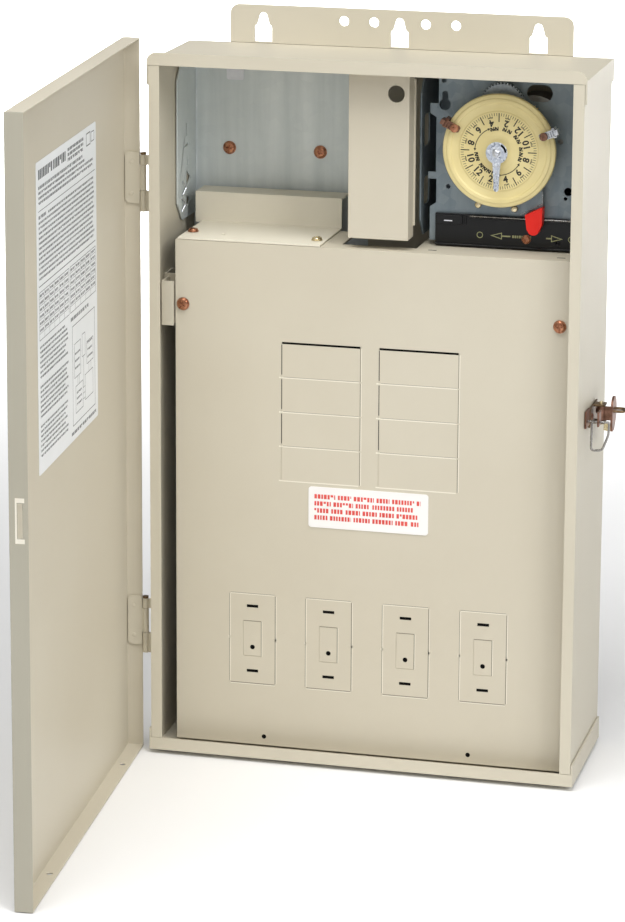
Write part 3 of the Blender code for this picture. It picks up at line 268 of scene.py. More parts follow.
CREAM = plastic("cream_enamel", (222, 205, 144), (230, 215, 158), (0.3, 0.38), 30)
RED = plastic("red_moulding", (226, 30, 20), (234, 42, 28), (0.3, 0.4), 40, Specular_IOR_Level=0.3)
INK = plastic("black_ink", (34, 30, 24), (44, 40, 32), (0.5, 0.6))
SHEET_INK = plastic("grey_ink", (84, 86, 88), (104, 106, 108), (0.6, 0.7))
RED_INK = plastic("red_ink", (214, 66, 58), (224, 84, 74), (0.5, 0.6))
GOLD_INK = plastic("pale_ink", (138, 142, 98), (160, 160, 118), (0.5, 0.6))
FILM = plastic("white_film", (240, 238, 236), (246, 244, 242), (0.34, 0.42), 20)
# A pale strip along the chassis fold: painted highlight on the bend.
FOLD_HIGHLIGHT = plastic("painted_fold_highlight", (212, 220, 223), (234, 240, 242), (0.35, 0.5))
PAPER = plastic("white_sheet", (232, 235, 236), (240, 242, 243), (0.5, 0.6), 20)
PAD = plastic("pale_nylon", (222, 224, 232), (242, 244, 248), (0.3, 0.42), 90)
# Black for slots, gaps and holes: painted shade standing for their unlit insides.
HOLE_SHADE = plastic("painted_recess_shade", (6, 5, 5), (10, 9, 8), (0.7, 0.8), Specular_IOR_Level=0.1)
# Darker and lighter copies of the beige paint: painted shadow and painted highlight lines along edges.
EDGE_SHADOW = powder("painted_shadow_edge", (134, 128, 112), (150, 143, 126))
EDGE_HIGHLIGHT = powder("painted_highlight_edge", (228, 222, 206), (236, 231, 216))

POINTER = plating("speckled_zinc", (176, 184, 198), (214, 220, 230), (0.3, 0.45), 0.7, 500)
POINTER.speck((236, 240, 246), 700, 0.58)
POINTER.speck((128, 138, 156), 520, 0.62)

SLOT_SURFACES = {
    "painted_steel": PAINT_BODY, "galvanised_steel": ZINC, "copper_screws": COPPER,
    "yellow_zinc": BRONZE, "plated_steel": SILVER, "black_plastic": BLACK_INSIDE,
    "tinned_bar": TIN, "gear_metal": GEAR, "brass_gear": BRASS, "motor_can": CAN,
    "dial_cream": CREAM, "grip_red": RED, "label_white": FILM, "sheet_paper": PAPER,
    "clear_pad": PAD,
}
NODE_SURFACES = {
    "mechanism_plate": ZINC_BLUE, "switch_partition": ZINC_BLUE, "manual_lever": ZINC_BLUE,
    "dead_front": PAINT_INNER, "wiring_channel_cover": PAINT_INNER, "step_cover": PAINT_STEP_LIT,
    "door_pan": PAINT_DOOR, "insulator_plate": BLACK,
}
EDGE_RADII = {
    "top_end_cap": 0.7, "bottom_end_cap": 0.5, "enclosure_body": 0.4, "door_pan": 0.45,
    "step_cover": 0.35, "wiring_channel_cover": 0.3, "drum_gear": 0.08, "idler_gear": 0.08,
    "motor_pinion": 0.08,
}
PLAIN_EDGE_RADIUS = 0.22


# ---------------- carried-over nodes

def slot_of(node):
    """The record's material slot of a node."""
    for entry in frame["record"]["subparts"]:
        if entry["node"] == node:
            return entry["material_slot"]
    return "painted_steel"


def round_edges(obj, radius, segments, angle):
    """Small real radii on the sharp edges, with the flats between them shaded flat."""
    edges = obj.modifiers.new("edges", "BEVEL")
    edges.width = radius * MM
    edges.segments = segments
    edges.limit_method = "ANGLE"
    edges.angle_limit = math.radians(angle)
    obj.modifiers.new("flats", "WEIGHTED_NORMAL").keep_sharp = True


def dress(node, obj):
    """Give a solid-model node its surface, welded corners and edge radii."""
    surface = NODE_SURFACES.get(node) or SLOT_SURFACES[slot_of(node)]
    obj.data.materials.clear()
    obj.data.materials.append(surface.material)
    for polygon in obj.data.polygons:
        polygon.use_smooth = True
    obj.modifiers.new("weld", "WELD").merge_threshold = 2 * WELD
    round_edges(obj, EDGE_RADII.get(node, PLAIN_EDGE_RADIUS), 2, 32)


# ---------------- mesh helpers

def new_object(name, data):
    made = bpy.data.objects.new(name, data)
    bpy.context.scene.collection.objects.link(made)
    return made


def mesh_object(name, bm):
    """An object from a bmesh, which is freed."""
    mesh = bpy.data.meshes.new(name)
    bm.to_mesh(mesh)
    bm.free()
    return new_object(name, mesh)


def piece(name, bm, surface, body, stands_for=None, sharp=34, edge=0.0):
    """A finished piece: smooth by angle, painted, carried by its body."""
    bmesh.ops.recalc_face_normals(bm, faces=bm.faces)
    for face in bm.faces:
        face.smooth = True
    made = mesh_object(name, bm)
    made.data.set_sharp_from_angle(angle=math.radians(sharp))
    made.data.materials.append(surface.material)
    if edge:
        round_edges(made, edge, 3, sharp)
    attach(made, body)
    if stands_for:
        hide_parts(stands_for)
    return made


def carved(name, bm, cutters, surface, body, stands_for, edge, sharp=34):
    """A piece with recesses cut by the cutters, each a bmesh of its own."""
    made = piece(name, bm, surface, body, stands_for, sharp)
    tools = []
    for index, tool in enumerate(cutters):
        bmesh.ops.recalc_face_normals(tool, faces=tool.faces)
        tools.append(mesh_object("tool", tool))
        modifier = made.modifiers.new(f"cut_{index}", "BOOLEAN")
        modifier.operation = "DIFFERENCE"
        modifier.solver = "EXACT"
        modifier.object = tools[-1]
    bpy.context.view_layer.update()
    made.data = evaluated_mesh(made)
    made.modifiers.clear()
    made.data.set_sharp_from_angle(angle=math.radians(sharp))
    for cutter in tools:
        bpy.data.objects.remove(cutter, do_unlink=True)
    round_edges(made, edge, 2, sharp)


def evaluated_mesh(obj):
    """A mesh of its own with the object's modifiers or text applied."""
    return bpy.data.meshes.new_from_object(obj.evaluated_get(bpy.context.evaluated_depsgraph_get()))


def add_block(bm, x, y, z):
    """A box between the two ends given on each axis."""
    corners = [bm.verts.new(spot(a, b, c)) for a in sorted(x) for b in sorted(y) for c in sorted(z)]
    for ring in ((0, 1, 3, 2), (4, 6, 7, 5), (0, 4, 5, 1), (2, 3, 7, 6), (0, 2, 6, 4), (1, 5, 7, 3)):
        bm.faces.new([corners[i] for i in ring])


def add_prism(bm, outlines, near_place, far_place):
    """A flat solid between two placings of its outlines; the outlines after the first are holes."""
    loops = [[Vector((a, b, 0)) for a, b in outline] for outline in outlines]
    flat = [point for loop in loops for point in loop]
    near = [bm.verts.new(near_place(p.x, p.y)) for p in flat]
    far = [bm.verts.new(far_place(p.x, p.y)) for p in flat]
    for a, b, c in geometry.tessellate_polygon(loops):
        bm.faces.new((near[a], near[b], near[c]))
        bm.faces.new((far[c], far[b], far[a]))
    start = 0
    for loop in loops:
        for i in range(len(loop)):
            here, there = start + i, start + (i + 1) % len(loop)
            bm.faces.new((near[here], near[there], far[there], far[here]))
        start += len(loop)


def add_plate(bm, outlines, y0, y1):
    """A plate that faces the front, its outlines in (x, height)."""
    add_prism(bm, outlines, lambda x, h: spot(x, y0, h), lambda x, h: spot(x, y1, h))


def add_side_plate(bm, outlines, x0, x1):
    """A plate that faces sideways, its outlines in (y, height)."""
    add_prism(bm, outlines, lambda y, h: spot(x0, y, h), lambda y, h: spot(x1, y, h))


def add_patch(bm, x0, x1, z0, z1, y0, y1):
    """A thin rectangle lying on a face that looks forward."""
    add_plate(bm, [[(x0, z0), (x1, z0), (x1, z1), (x0, z1)]], y0, y1)


def add_turned(bm, profile, centre, axis, sides):
    """Turn a (radius, height) profile about an axis through centre."""
    side = axis.orthogonal().normalized()
    other = axis.cross(side)
    turns = [2 * math.pi * k / sides for k in range(sides)]
    rings = []
    for radius, height in profile:
        base = centre + axis * (height * MM)
        spokes = [side * math.cos(t) + other * math.sin(t) for t in turns]
        points = [base + spoke * (radius * MM) for spoke in spokes] if radius else [base]
        rings.append([bm.verts.new(point) for point in points])
    for low, high in zip(rings, rings[1:]):
        for k in range(sides):
            j = (k + 1) % sides
            corners = [low[k % len(low)], low[j % len(low)], high[j % len(high)], high[k % len(high)]]
            unique = list(dict.fromkeys(corners))
            if len(unique) > 2:
                bm.faces.new(unique)
    return rings


def rod(place, axis, radius, long):
    """A plain round bar that cuts a hole."""
    bm = bmesh.new()
    add_turned(bm, [(0, 0), (radius, 0), (radius, long), (0, long)], place, axis, 24)
    return bm


def add_tube(bm, points, radius, sides):
    """A round wire through the points, with a steady twist."""
    turns = [2 * math.pi * k / sides for k in range(sides)]
    previous, rings = None, []
    for i, point in enumerate(points):
        along = (points[min(i + 1, len(points) - 1)] - points[max(i - 1, 0)]).normalized()
        side = along.orthogonal() if previous is None else previous - along * previous.dot(along)
        side.normalize()
        previous = side
        other = along.cross(side)
        rings.append([bm.verts.new(point + (side * math.cos(t) + other * math.sin(t)) * (radius * MM))
                      for t in turns])
    for low, high in zip(rings, rings[1:]):
        for k in range(sides):
            j = (k + 1) % sides
            bm.faces.new((low[k], low[j], high[j], high[k]))
    bm.faces.new(rings[0][::-1])
    bm.faces.new(rings[-1])


def rounded_path(points, radius, steps):
    """Round the corners of an open path of Vectors (radius in mm)."""
    out = [points[0]]
    for before, corner, after in zip(points, points[1:], points[2:]):
        a, b = before - corner, after - corner
        reach = min(radius * MM, a.length * 0.45, b.length * 0.45)
        start, stop = corner + a.normalized() * reach, corner + b.normalized() * reach
        for t in spread(0, 1, steps):
            out.append(start * (1 - t) ** 2 + corner * (2 * t * (1 - t)) + stop * t ** 2)
    out.append(points[-1])
    return out


def ring_points(cx, cz, radius, start=0.0, stop=360.0, steps=32):
    """Points on a circle or an arc, the last one left out where it would repeat the first."""
    count = steps + (stop - start < 360)
    angles = [math.radians(start + (stop - start) * k / steps) for k in range(count)]
    return [(cx + radius * math.cos(a), cz + radius * math.sin(a)) for a in angles]


def rounded_rectangle(x0, x1, z0, z1, radius, steps=5):
    corners = ((x1 - radius, z1 - radius, 0), (x0 + radius, z1 - radius, 90),
               (x0 + radius, z0 + radius, 180), (x1 - radius, z0 + radius, 270))
    return [p for cx, cz, a in corners for p in ring_points(cx, cz, radius, a, a + 90, steps)]


def turned_about(centre, degrees, axis):
    """A turn about an axis through a point."""
    turn = Matrix.Rotation(math.radians(degrees), 4, axis)
    return Matrix.Translation(centre) @ turn @ Matrix.Translation(-centre)


DOOR_SWING = turned_about(spot(HINGE_X, HINGE_Y, MIDDLE), DOOR_TURN, "Z")


# ---------------- screws

PAN_HEAD = ((0, 0), (1, 0), (1, 0.16), (0.985, 0.22), (0.9, 0.26), (0.88, 0.55), (0.8, 0.78),
            (0.62, 0.93), (0.34, 0.99), (0, 1))
ABOVE_HEAD = 4.0


SCREWS = (
    ("chassis_screw_left", COPPER, FORWARD, 35),
    ("chassis_screw_right", COPPER, FORWARD, 20),
    ("step_cover_screw_left", COPPER, UPWARD, 30),
    ("step_cover_screw_right", GOLD, UPWARD, 80),
    ("dead_front_screw_left", COPPER, FORWARD, 10),
    ("dead_front_screw_right", COPPER, FORWARD, 55),
    ("insulator_screw", COPPER, FORWARD, 40),
)


def bar_tool(centre, along, across, axis, length, width, top, depth):
    """A straight slot: length along, width across, from above the head's top down by depth."""
    bm = bmesh.new()
    for a in (-1, 1):
        for b in (-1, 1):
            for height in (top + ABOVE_HEAD, top - depth):
                bm.verts.new(centre + along * (a * length / 2 * MM) + across * (b * width / 2 * MM)
                             + axis * (height * MM))
    bmesh.ops.convex_hull(bm, input=bm.verts)
    return bm


def screw(node, surface, axis, slot_angle):
    """Low pan head with a washer face and a combined slot and cross recess."""
    low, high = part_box(node)
    size = high - low
    tall = abs(size.dot(axis)) / MM
    radius = (sum(size) / MM - tall) / 4
    base = (low + high) / 2 - axis * (tall / 2 * MM)
    side = axis.orthogonal().normalized()
    turn = math.radians(slot_angle)
    along = side * math.cos(turn) + axis.cross(side) * math.sin(turn)
    square = axis.cross(along)
    bm = bmesh.new()
    add_turned(bm, [(radius * wide, tall * rise) for wide, rise in PAN_HEAD], base, axis, 40)
    tools = [bar_tool(base, along, square, axis, radius * 2.4, 0.95, tall, tall * 0.5),
             bar_tool(base, square, along, axis, radius * 0.95, 0.8, tall, tall * 0.7),
             bar_tool(base, along, square, axis, radius * 0.95, 1.1, tall, tall * 0.7)]
    carved(node + "_drive", bm, tools, surface, "enclosure", node, 0.07)


# ---------------- dial

def polar(angle, radius):
    """A point around the dial's middle, as (x, height)."""
    turn = math.radians(angle)
    return DIAL_X + radius * math.cos(turn), DIAL_Z + radius * math.sin(turn)


def dial_profile():
    """(radius, height in front of the dial's back) of the turned dish."""
    tall = DIAL_BACK - DIAL_FRONT
    face = ((2.6, 0.9), (9.0, 0.9), (11.2, 0.8), (12.5, 0.4), (13.8, -0.15), (27.2, -0.15),
            (27.8, -0.3), (28.4, -0.85), (29.2, -1.0), (32.6, -1.0), (33.6, -0.8), (34.4, -0.05),
            (35.0, 0.05), (36.2, 0.05), (36.8, -0.1), (37.3, -0.6), (37.9, -0.75), (39.0, -0.95),
            (39.7, -1.3), (40.1, -1.9))
    rear = [(40.2, 0.4), (39.9, 0.0), (38.0, 0.0), (38.0, tall - 2.4), (9.0, tall - 2.4), (9.0, 0.5),
            (2.6, 0.5)]
    return [(2.6, 0.5)] + [(radius, tall + rise) for radius, rise in face] + rear


def dial_dish():
    bm = bmesh.new()
    rings = add_turned(bm, dial_profile(), spot(DIAL_X, DIAL_BACK, DIAL_Z), FORWARD, 144)
    for first, last in zip(rings[0], rings[-1]):
        first.co = last.co
    bmesh.ops.remove_doubles(bm, verts=bm.verts, dist=WELD)
    piece("dial_dish", bm, CREAM, "dial", "dial", sharp=28)


def dial_print():
    """Quarter-hour lines, figures, two arrows, day and night bars and a ring of greeked words."""
    bm = bmesh.new()
    for k in range(96):
        short = 24.9 if k % 4 else 24.3
        inner, half = (short, 0.17) if k % 8 else (20.8, 0.36)
        add_radial(bm, 3.75 * k, inner, 27.0, half)
    for angle, label in zip(NUMBER_ANGLES, ("4", "6", "8", "10", "12", "2") * 2):
        add_number(bm, label, angle, 20.5, 4.9)
    for start, stop in ((116, 176), (-86, -32)):
        add_arrow(bm, start, stop, 16.9)
    for angle in NUMBER_ANGLES:
        for shift in (-3.4, -1.2, 1.2, 3.4):
            add_radial(bm, angle + shift, 23.5, 24.5, 0.3)
    for start in (-22, -9, 4, 24, 37, 58, 71, 92, 103, 186, 198, 217, 229, 241, 254):
        for k in range(3):
            angle, odd = start + k * 3.6, k % 2
            add_radial(bm, angle, 14.7, 17.4 - 0.6 * odd, 0.34)
            add_radial(bm, angle + 1.6, 14.8 + 1.2 * odd, 16.0 + 1.2 * odd, 0.3)
    piece("dial_figures", bm, INK, "dial")


def add_print_plate(bm, outline):
    add_plate(bm, [outline], DIAL_PRINT - 0.05, DIAL_PRINT + 0.05)


def add_radial(bm, angle, inner, outer, half):
    """A straight printed line that points at the middle of the dial."""
    turn = math.radians(angle)
    along = (math.cos(turn), math.sin(turn))
    across = (-along[1], along[0])
    add_print_plate(bm, [(DIAL_X + along[0] * r + across[0] * s, DIAL_Z + along[1] * r + across[1] * s)
                         for r, s in ((inner, -half), (outer, -half), (outer, half), (inner, half))])


def add_number(bm, label, angle, radius, tall):
    """Figures whose tops point at the middle of the dial."""
    curve = bpy.data.curves.new("figure", "FONT")
    curve.body = label
    curve.size = tall * MM * 1.32
    curve.offset = 0.22 * MM
    curve.space_character = 1.05
    curve.extrude = 0.05 * MM
    curve.resolution_u = 3
    curve.align_x = "CENTER"
    curve.align_y = "CENTER"
    holder = new_object("figure", curve)
    bpy.context.view_layer.update()
    mesh = evaluated_mesh(holder)
    x, z = polar(angle, radius)
    upright = Matrix(((1, 0, 0, 0), (0, 0, -1, 0), (0, 1, 0, 0), (0, 0, 0, 1)))
    turn = Matrix.Rotation(-math.radians(angle + 90), 4, "Y")
    mesh.transform(Matrix.Translation(spot(x, DIAL_PRINT, z)) @ turn @ upright)
    bm.from_mesh(mesh)
    bpy.data.objects.remove(holder, do_unlink=True)


def add_arrow(bm, start, stop, radius):
    """A printed arc around the dial's middle with a head at both ends."""
    half = 0.28
    outer = [polar(a, radius + half) for a in spread(start, stop, 14)]
    inner = [polar(a, radius - half) for a in spread(stop, start, 14)]
    add_print_plate(bm, outer + inner)
    for tip, base in ((start - 5, start + 1), (stop + 5, stop - 1)):
        add_print_plate(bm, [polar(tip, radius), polar(base, radius + 1.0), polar(base, radius - 1.0)])


def pointer():
    """Fixed hand: a speckled disc, a tapering ribbed arm and a round rivet."""
    back, front = DIAL_FRONT - 6.0, DIAL_FRONT - 6.9
    shoulder, wrist, tip = DIAL_Z - 14.0, DIAL_Z - 24.6, DIAL_Z - 25.6
    bm = bmesh.new()
    hand = ring_points(DIAL_X, DIAL_Z, 7.7, -68, 248, 40)
    hand += [(DIAL_X - 2.3, shoulder), (DIAL_X - 1.8, wrist)]
    hand += ring_points(DIAL_X, tip, 1.8, 190, 350, 10)
    hand += [(DIAL_X + 1.8, wrist), (DIAL_X + 2.3, shoulder)]
    add_plate(bm, [hand], front, back)
    piece("pointer_hand", bm, POINTER, "enclosure", "time_pointer", edge=0.16)

    bm = bmesh.new()
    rivet = [(0, 0), (3.3, 0), (3.3, 0.5), (2.5, 0.7), (2.4, 1.3), (1.9, 1.9), (1.0, 2.2), (0, 2.25)]
    add_turned(bm, rivet, spot(DIAL_X, front + 0.2, DIAL_Z), FORWARD, 36)
    dot = [(0, 0), (1.0, 0), (0.9, 0.45), (0.5, 0.7), (0, 0.75)]
    for shift in (-1.5, 1.4):
        add_turned(bm, dot, spot(DIAL_X + shift, front + 0.1, DIAL_Z - 9.4), FORWARD, 20)
    rib = ((-0.55, -12.0), (-0.5, -24.0), (0.5, -24.0), (0.55, -12.0))
    add_plate(bm, [[(DIAL_X + x, DIAL_Z + z) for x, z in rib]], front - 0.35, front + 0.1)
    piece("pointer_rivet", bm, SILVER, "enclosure", edge=0.08)

    # A dark crescent on the hand's disc: painted shade standing for a notch.
    bm = bmesh.new()
    inside = reversed(ring_points(DIAL_X - 0.5, DIAL_Z - 0.3, 6.2, 8, 60, 12))
    lip = ring_points(DIAL_X, DIAL_Z, 7.1, 5, 62, 12) + [(x + 0.1, z - 0.1) for x, z in inside]
    add_plate(bm, [lip], front - 0.04, front + 0.02)
    piece("pointer_notch_shade", bm, HOLE_SHADE, "enclosure")


def tripper(name, angle, clip, screw_surface, body):
    """Folded clip over the dial's rim with a knurled thumb screw."""
    turn = turned_about(spot(DIAL_X, 0, DIAL_Z), -angle, "Y")
    front = DIAL_FRONT
    bm = bmesh.new()
    half = [(31.0, 1.6), (32.2, 2.5), (40.6, 2.6), (41.4, 3.5), (43.3, 3.5)]
    nose = [(DIAL_X + out, DIAL_Z - wide) for out, wide in half]
    nose += [(DIAL_X + out, DIAL_Z + wide) for out, wide in reversed(half)]
    add_plate(bm, [nose], front - 1.8, front - 0.6)
    folds = [(40.7, 43.4, front - 1.7, DIAL_BACK + 1.9, 3.5),
             (38.6, 43.3, DIAL_BACK + 0.4, DIAL_BACK + 1.9, 3.4),
             (42.5, 45.5, front - 4.3, DIAL_BACK - 1.1, 1.9)]
    folds += [(37.2 + 1.7 * k, 37.2 + 1.7 * k + 0.9, front - 2.9 - 0.3 * k, front - 1.6, 2.7)
              for k in range(3)]
    for inner, outer, y0, y1, wide in folds:
        add_block(bm, (DIAL_X + inner, DIAL_X + outer), (y0, y1), (DIAL_Z - wide, DIAL_Z + wide))
    for side in (-1, 1):
        add_block(bm, (DIAL_X + 36.4, DIAL_X + 42.6), (front - 3.6, front - 1.4),
                  (DIAL_Z + side * 2.0, DIAL_Z + side * 2.7))
    bm.transform(turn)
    piece(name + "_clip", bm, clip, body, name, edge=0.22)

    thumb = name + "_screw"
    head = bmesh.new()
    centre = spot(DIAL_X + 34.6, front - 2.2, DIAL_Z)
    profile = [(0, 0), (2.4, 0), (2.9, 0.3), (3.0, 2.0), (2.7, 2.5), (1.6, 2.75), (0, 2.8)]
    rings = add_turned(head, profile, centre, FORWARD, 40)
    for ring in rings[2:4]:
        for groove in ring[1::2]:
            out = groove.co - centre
            groove.co = centre + out * 0.965 + Vector((0, out.y * 0.035, 0))
    for vert in head.verts:
        vert.co = turn @ vert.co
    slot_turn = math.radians(angle + 65)
    along = Vector((math.cos(slot_turn), 0, math.sin(slot_turn)))
    tool = bar_tool(turn @ centre, along, FORWARD.cross(along), FORWARD, 8.0, 0.8, 2.8, 1.0)
    carved(name + "_thumb_screw", head, [tool], screw_surface, body + "_screw",
           thumb, 0.06)


# ---------------- lever and insulator

def grip():
    """Red moulded cap with softly rounded edges, and a painted highlight along the edge of its arm."""
    middle, top, tip = GRIP_X, 411.4, 391.4
    outline = [(middle - 6.2, top - 5.6), (middle - 4.8, tip + 4.0)]
    outline += ring_points(middle, tip + 4.4, 4.3, 200, 318, 8)
    outline += [(middle + 6.0, tip + 7.5), (middle + 6.4, top - 0.4), (middle + 4.8, top)]
    bm = bmesh.new()
    add_plate(bm, [outline], -75.2, -66.9)
    pocket = bmesh.new()
    add_block(pocket, (middle - 1.2, middle + 6.0), (-69.9, -67.7), (399.4, top + 4))
    carved("lever_handle", bm, [pocket], RED, "lever", "lever_grip", 0.75, sharp=40)
    # A bright wire on the arm's face: painted highlight along its edge.
    bm = bmesh.new()
    line = ((104.2, 405.0), (middle + 5.2, 413.3), (middle + 5.2, 421.0))
    add_tube(bm, rounded_path([spot(x, -69.5, h) for x, h in line], 0.8, 4), 0.28, 8)
    piece("lever_edge_highlight", bm, SILVER, "lever")


def insulator():
    """Black moulded plate below the dial with its ribs, a bright rod and a moulding mark."""
    left, right, low, high = INSULATOR_LEFT, INSULATOR_RIGHT, INSULATOR_LOW, INSULATOR_HIGH
    face, inset = INSULATOR_FACE, INSULATOR_FACE + 0.3
    bm = bmesh.new()
    add_block(bm, (left, right), (face, -62.6), (low, high))
    add_block(bm, (left + 24.2, right - 0.2), (face - 0.95, inset), (high - 3.0, high - 1.7))
    add_block(bm, (left + 0.6, left + 19.8), (face - 1.5, inset), (high - 7.3, high - 0.8))
    add_block(bm, (left + 0.2, right - 0.2), (face - 1.3, inset), (low + 0.2, low + 1.5))
    add_block(bm, (left + 21.2, left + 22.6), (face - 0.9, inset), (high - 7.0, high - 1.0))
    hole = rod(spot(130.4, face - 2, 385.5), -FORWARD, 1.6, 4.0)
    carved("insulator_moulding", bm, [hole], BLACK, "enclosure", "insulator_plate", 0.3)
    bm = bmesh.new()
    add_turned(bm, [(0, 0), (0.55, 0), (0.6, 0.1), (0.6, 80.9), (0.55, 81.0), (0, 81.0)],
               spot(left + 25.0, face - 0.3, high - 1.1), RIGHTWARD, 16)
    piece("insulator_rod", bm, STEEL_WIRE, "enclosure")
    bm = bmesh.new()
    mark = rounded_rectangle(left + 6.6, left + 12.6, high - 5.2, high - 4.5, 0.3)
    add_plate(bm, [mark], face - 1.54, face - 1.4)
    piece("insulator_moulding_mark", bm, PAD, "enclosure")


def lever_marks():
    """Two outlined arrows, a greeked word between them and a ring at each end, one with a bar."""
    y0, y1 = INSULATOR_FACE - 0.05, INSULATOR_FACE + 0.05
    line = INSULATOR_HIGH - 14.2
    bm = bmesh.new()
    for x0, x1, direction in ((82.0, 96.5, -1), (122.0, 134.0, 1)):
        tip, base = (x0, x1) if direction < 0 else (x1, x0)
        neck = tip - direction * 8.4
        inner_neck = neck + direction * 0.6
        outer = [(tip, line), (neck, line + 2.5), (neck, line - 2.5)]
        inner = [(tip - direction * 1.9, line), (inner_neck, line + 1.7), (inner_neck, line - 1.7)]
        add_plate(bm, [outer, inner], y0, y1)
        add_patch(bm, neck, base, line - 0.5, line + 0.5, y0, y1)
    cursor = 97.8
    while cursor < 111.0:
        wide = random.uniform(0.8, 1.4)
        add_patch(bm, cursor, cursor + wide, line - 1.0, line + 0.9, y0, y1)
        cursor += wide + 0.45
    off, on = 74.5, 140.0
    for centre in (off, on):
        rim = [ring_points(centre, line, 2.3, steps=24), ring_points(centre, line, 1.75, steps=24)[::-1]]
        add_plate(bm, rim, y0, y1)
    add_patch(bm, on - 0.35, on + 0.35, line - 1.1, line + 1.1, y0, y1)
    piece("lever_direction_marks", bm, GOLD_INK, "enclosure")


# ---------------- latch

def latch_bracket():
    """Bracket with two ears on the enclosure's side, its rivets and the handle's pin."""
    face, z, pivot, half = LATCH_FACE, LATCH_Z, LATCH_PIVOT, LATCH_HALF
    bm = bmesh.new()
    add_block(bm, (face, face + 1.5), (-70.5, -40.0), (z - half, z + half))
    add_block(bm, (face + 0.3, face + 5.0), (-70.4, -69.0), (z - 5.0, z + 5.0))
    for low in (z - half, z + half - LATCH_SHEET):
        add_block(bm, (face + 0.3, face + 9.4), (pivot - 5.0, pivot + 5.0), (low, low + LATCH_SHEET))
    bore = rod(spot(LATCH_PIN_X, pivot, z - 13), UPWARD, 1.5, 26)
    carved("latch_bracket", bm, [bore], BRONZE, "enclosure", "latch_base", 0.4)
    bm = bmesh.new()
    for y in (-64.0, -44.0):
        add_turned(bm, [(0, 0), (2.6, 0), (2.5, 0.4), (1.9, 0.9), (0.9, 1.15), (0, 1.2)],
                   spot(face + 1.4, y, z), RIGHTWARD, 28)
    piece("latch_rivets", bm, COPPER_DARK, "enclosure")
    bm = bmesh.new()
    add_turned(bm, [(0, 0), (1.1, 0), (1.2, 0.2), (1.2, 16.8), (1.1, 17.0), (0, 17.0)],
               spot(LATCH_PIN_X, pivot, z - 8.5), UPWARD, 24)
    piece("latch_pin_rod", bm, GOLD, "enclosure", "latch_pin")


def latch_handle():
    """Arched handle on its barrel, with a padlock ring and a tongue below."""
    pin_x, z, pivot = LATCH_PIN_X, LATCH_Z, LATCH_PIVOT
    half = 5.15
    bm = bmesh.new()
    barrel = [(1.5, 0), (2.5, 0), (2.6, 0.2), (2.6, 2 * half - 0.2), (2.5, 2 * half), (1.5, 2 * half),
              (1.5, 0)]
    add_turned(bm, barrel, spot(pin_x, pivot, z - half), UPWARD, 32)
    bmesh.ops.remove_doubles(bm, verts=bm.verts, dist=WELD)
    add_block(bm, (pin_x + 2.2, pin_x + 7.8), (pivot - 0.75, pivot + 0.75), (z - 5.0, z + 5.0))
    outline = ring_points(pivot + 8.0, z + 2.4, 8.5, 0, 180, 20)
    foot = ((-0.5, -8.0), (1.1, -13.5), (8.0, -13.5), (16.5, -6.0))
    outline += [(pivot + y, z + rise) for y, rise in foot]
    add_side_plate(bm, [outline], pin_x + 6.85, pin_x + 8.35)
    piece("latch_handle", bm, COPPER_DARK, "latch", "latch_lever", edge=0.35)
    bm = bmesh.new()
    near, far = pin_x + 7.6, pin_x + 7.6 + 8.1
    loop = ((near, 3.0), (far, 3.0), (far, 12.0), (near, 12.0))
    add_tube(bm, rounded_path([spot(x, pivot + y, z + 1.0) for x, y in loop], 2.6, 8), 1.05, 16)
    piece("latch_padlock_ring", bm, BRONZE, "latch")
    bm = bmesh.new()
    inner, outer, under = pin_x + 2.1, pin_x + 6.9, z - LATCH_HALF - 0.45
    tongue = [(inner, under), (inner, z - 12.5), (outer, z - 13.1), (outer, under)]
    add_plate(bm, [tongue], pivot - 0.75, pivot + 0.75)
    piece("latch_tongue", bm, GOLD, "latch", edge=0.2)


def bail():
    """Folded box on the enclosure's side and the D-shaped wire that hangs in it."""
    face, cheek, sheet = LATCH_FACE, LATCH_FACE + 8.65, LATCH_SHEET
    front, rear, low, high = BAIL_Y - 5.9, -72.4, BAIL_Z - 2.9, BAIL_Z + 7.9
    bm = bmesh.new()
    add_block(bm, (face, face + sheet), (front, rear), (low - 1.4, high))
    add_block(bm, (face + 0.3, cheek + sheet), (front + 0.2, rear - 0.2), (high - sheet, high - 0.05))
    add_block(bm, (face + 0.3, cheek + sheet), (front + 0.05, front + sheet), (BAIL_Z + 3.1, high - 0.2))
    add_block(bm, (cheek, cheek + sheet - 0.05), (front + 2.1, rear - 2.1), (low, high - 0.2))
    bore = rod(spot(face - 2, BAIL_Y, BAIL_Z), RIGHTWARD, 1.3, 16)
    carved("bail_lug", bm, [bore], COPPER_DARK, "enclosure", "bail_bracket", 0.35)
    left, right, foot = face + 4.4, face + 16.5, BAIL_Z - 21.0
    path = ((left, BAIL_Z), (left - 0.3, foot), (left + 7.6, foot + 0.4), (right - 0.1, foot + 12.0),
            (right, BAIL_Z))
    bm = bmesh.new()
    add_tube(bm, rounded_path([spot(x, BAIL_Y, h) for x, h in path], 2.6, 8), BAIL_WIRE, 16)
    add_tube(bm, [spot(x, BAIL_Y, BAIL_Z) for x in (face + 0.6, right + 0.8)], BAIL_WIRE, 16)
    piece("bail_wire", bm, STEEL_WIRE, "bail", "latch_bail", edge=0.1)


# ---------------- labels

def add_print(bm, x0, x1, z0, z1, y=0.0):
    """One rectangle of ink on a face at y."""
    add_patch(bm, x0, x1, z0, z1, y - 0.04, y + 0.02)


def add_frame(bm, x0, x1, z0, z1, wide):
    """A printed rectangle with an empty middle."""
    left, right, low, high = x0 + wide, x1 - wide, z0 + wide, z1 - wide
    inner = [(left, low), (left, high), (right, high), (right, low)]
    add_plate(bm, [[(x0, z0), (x1, z0), (x1, z1), (x0, z1)], inner], -0.04, 0.02)


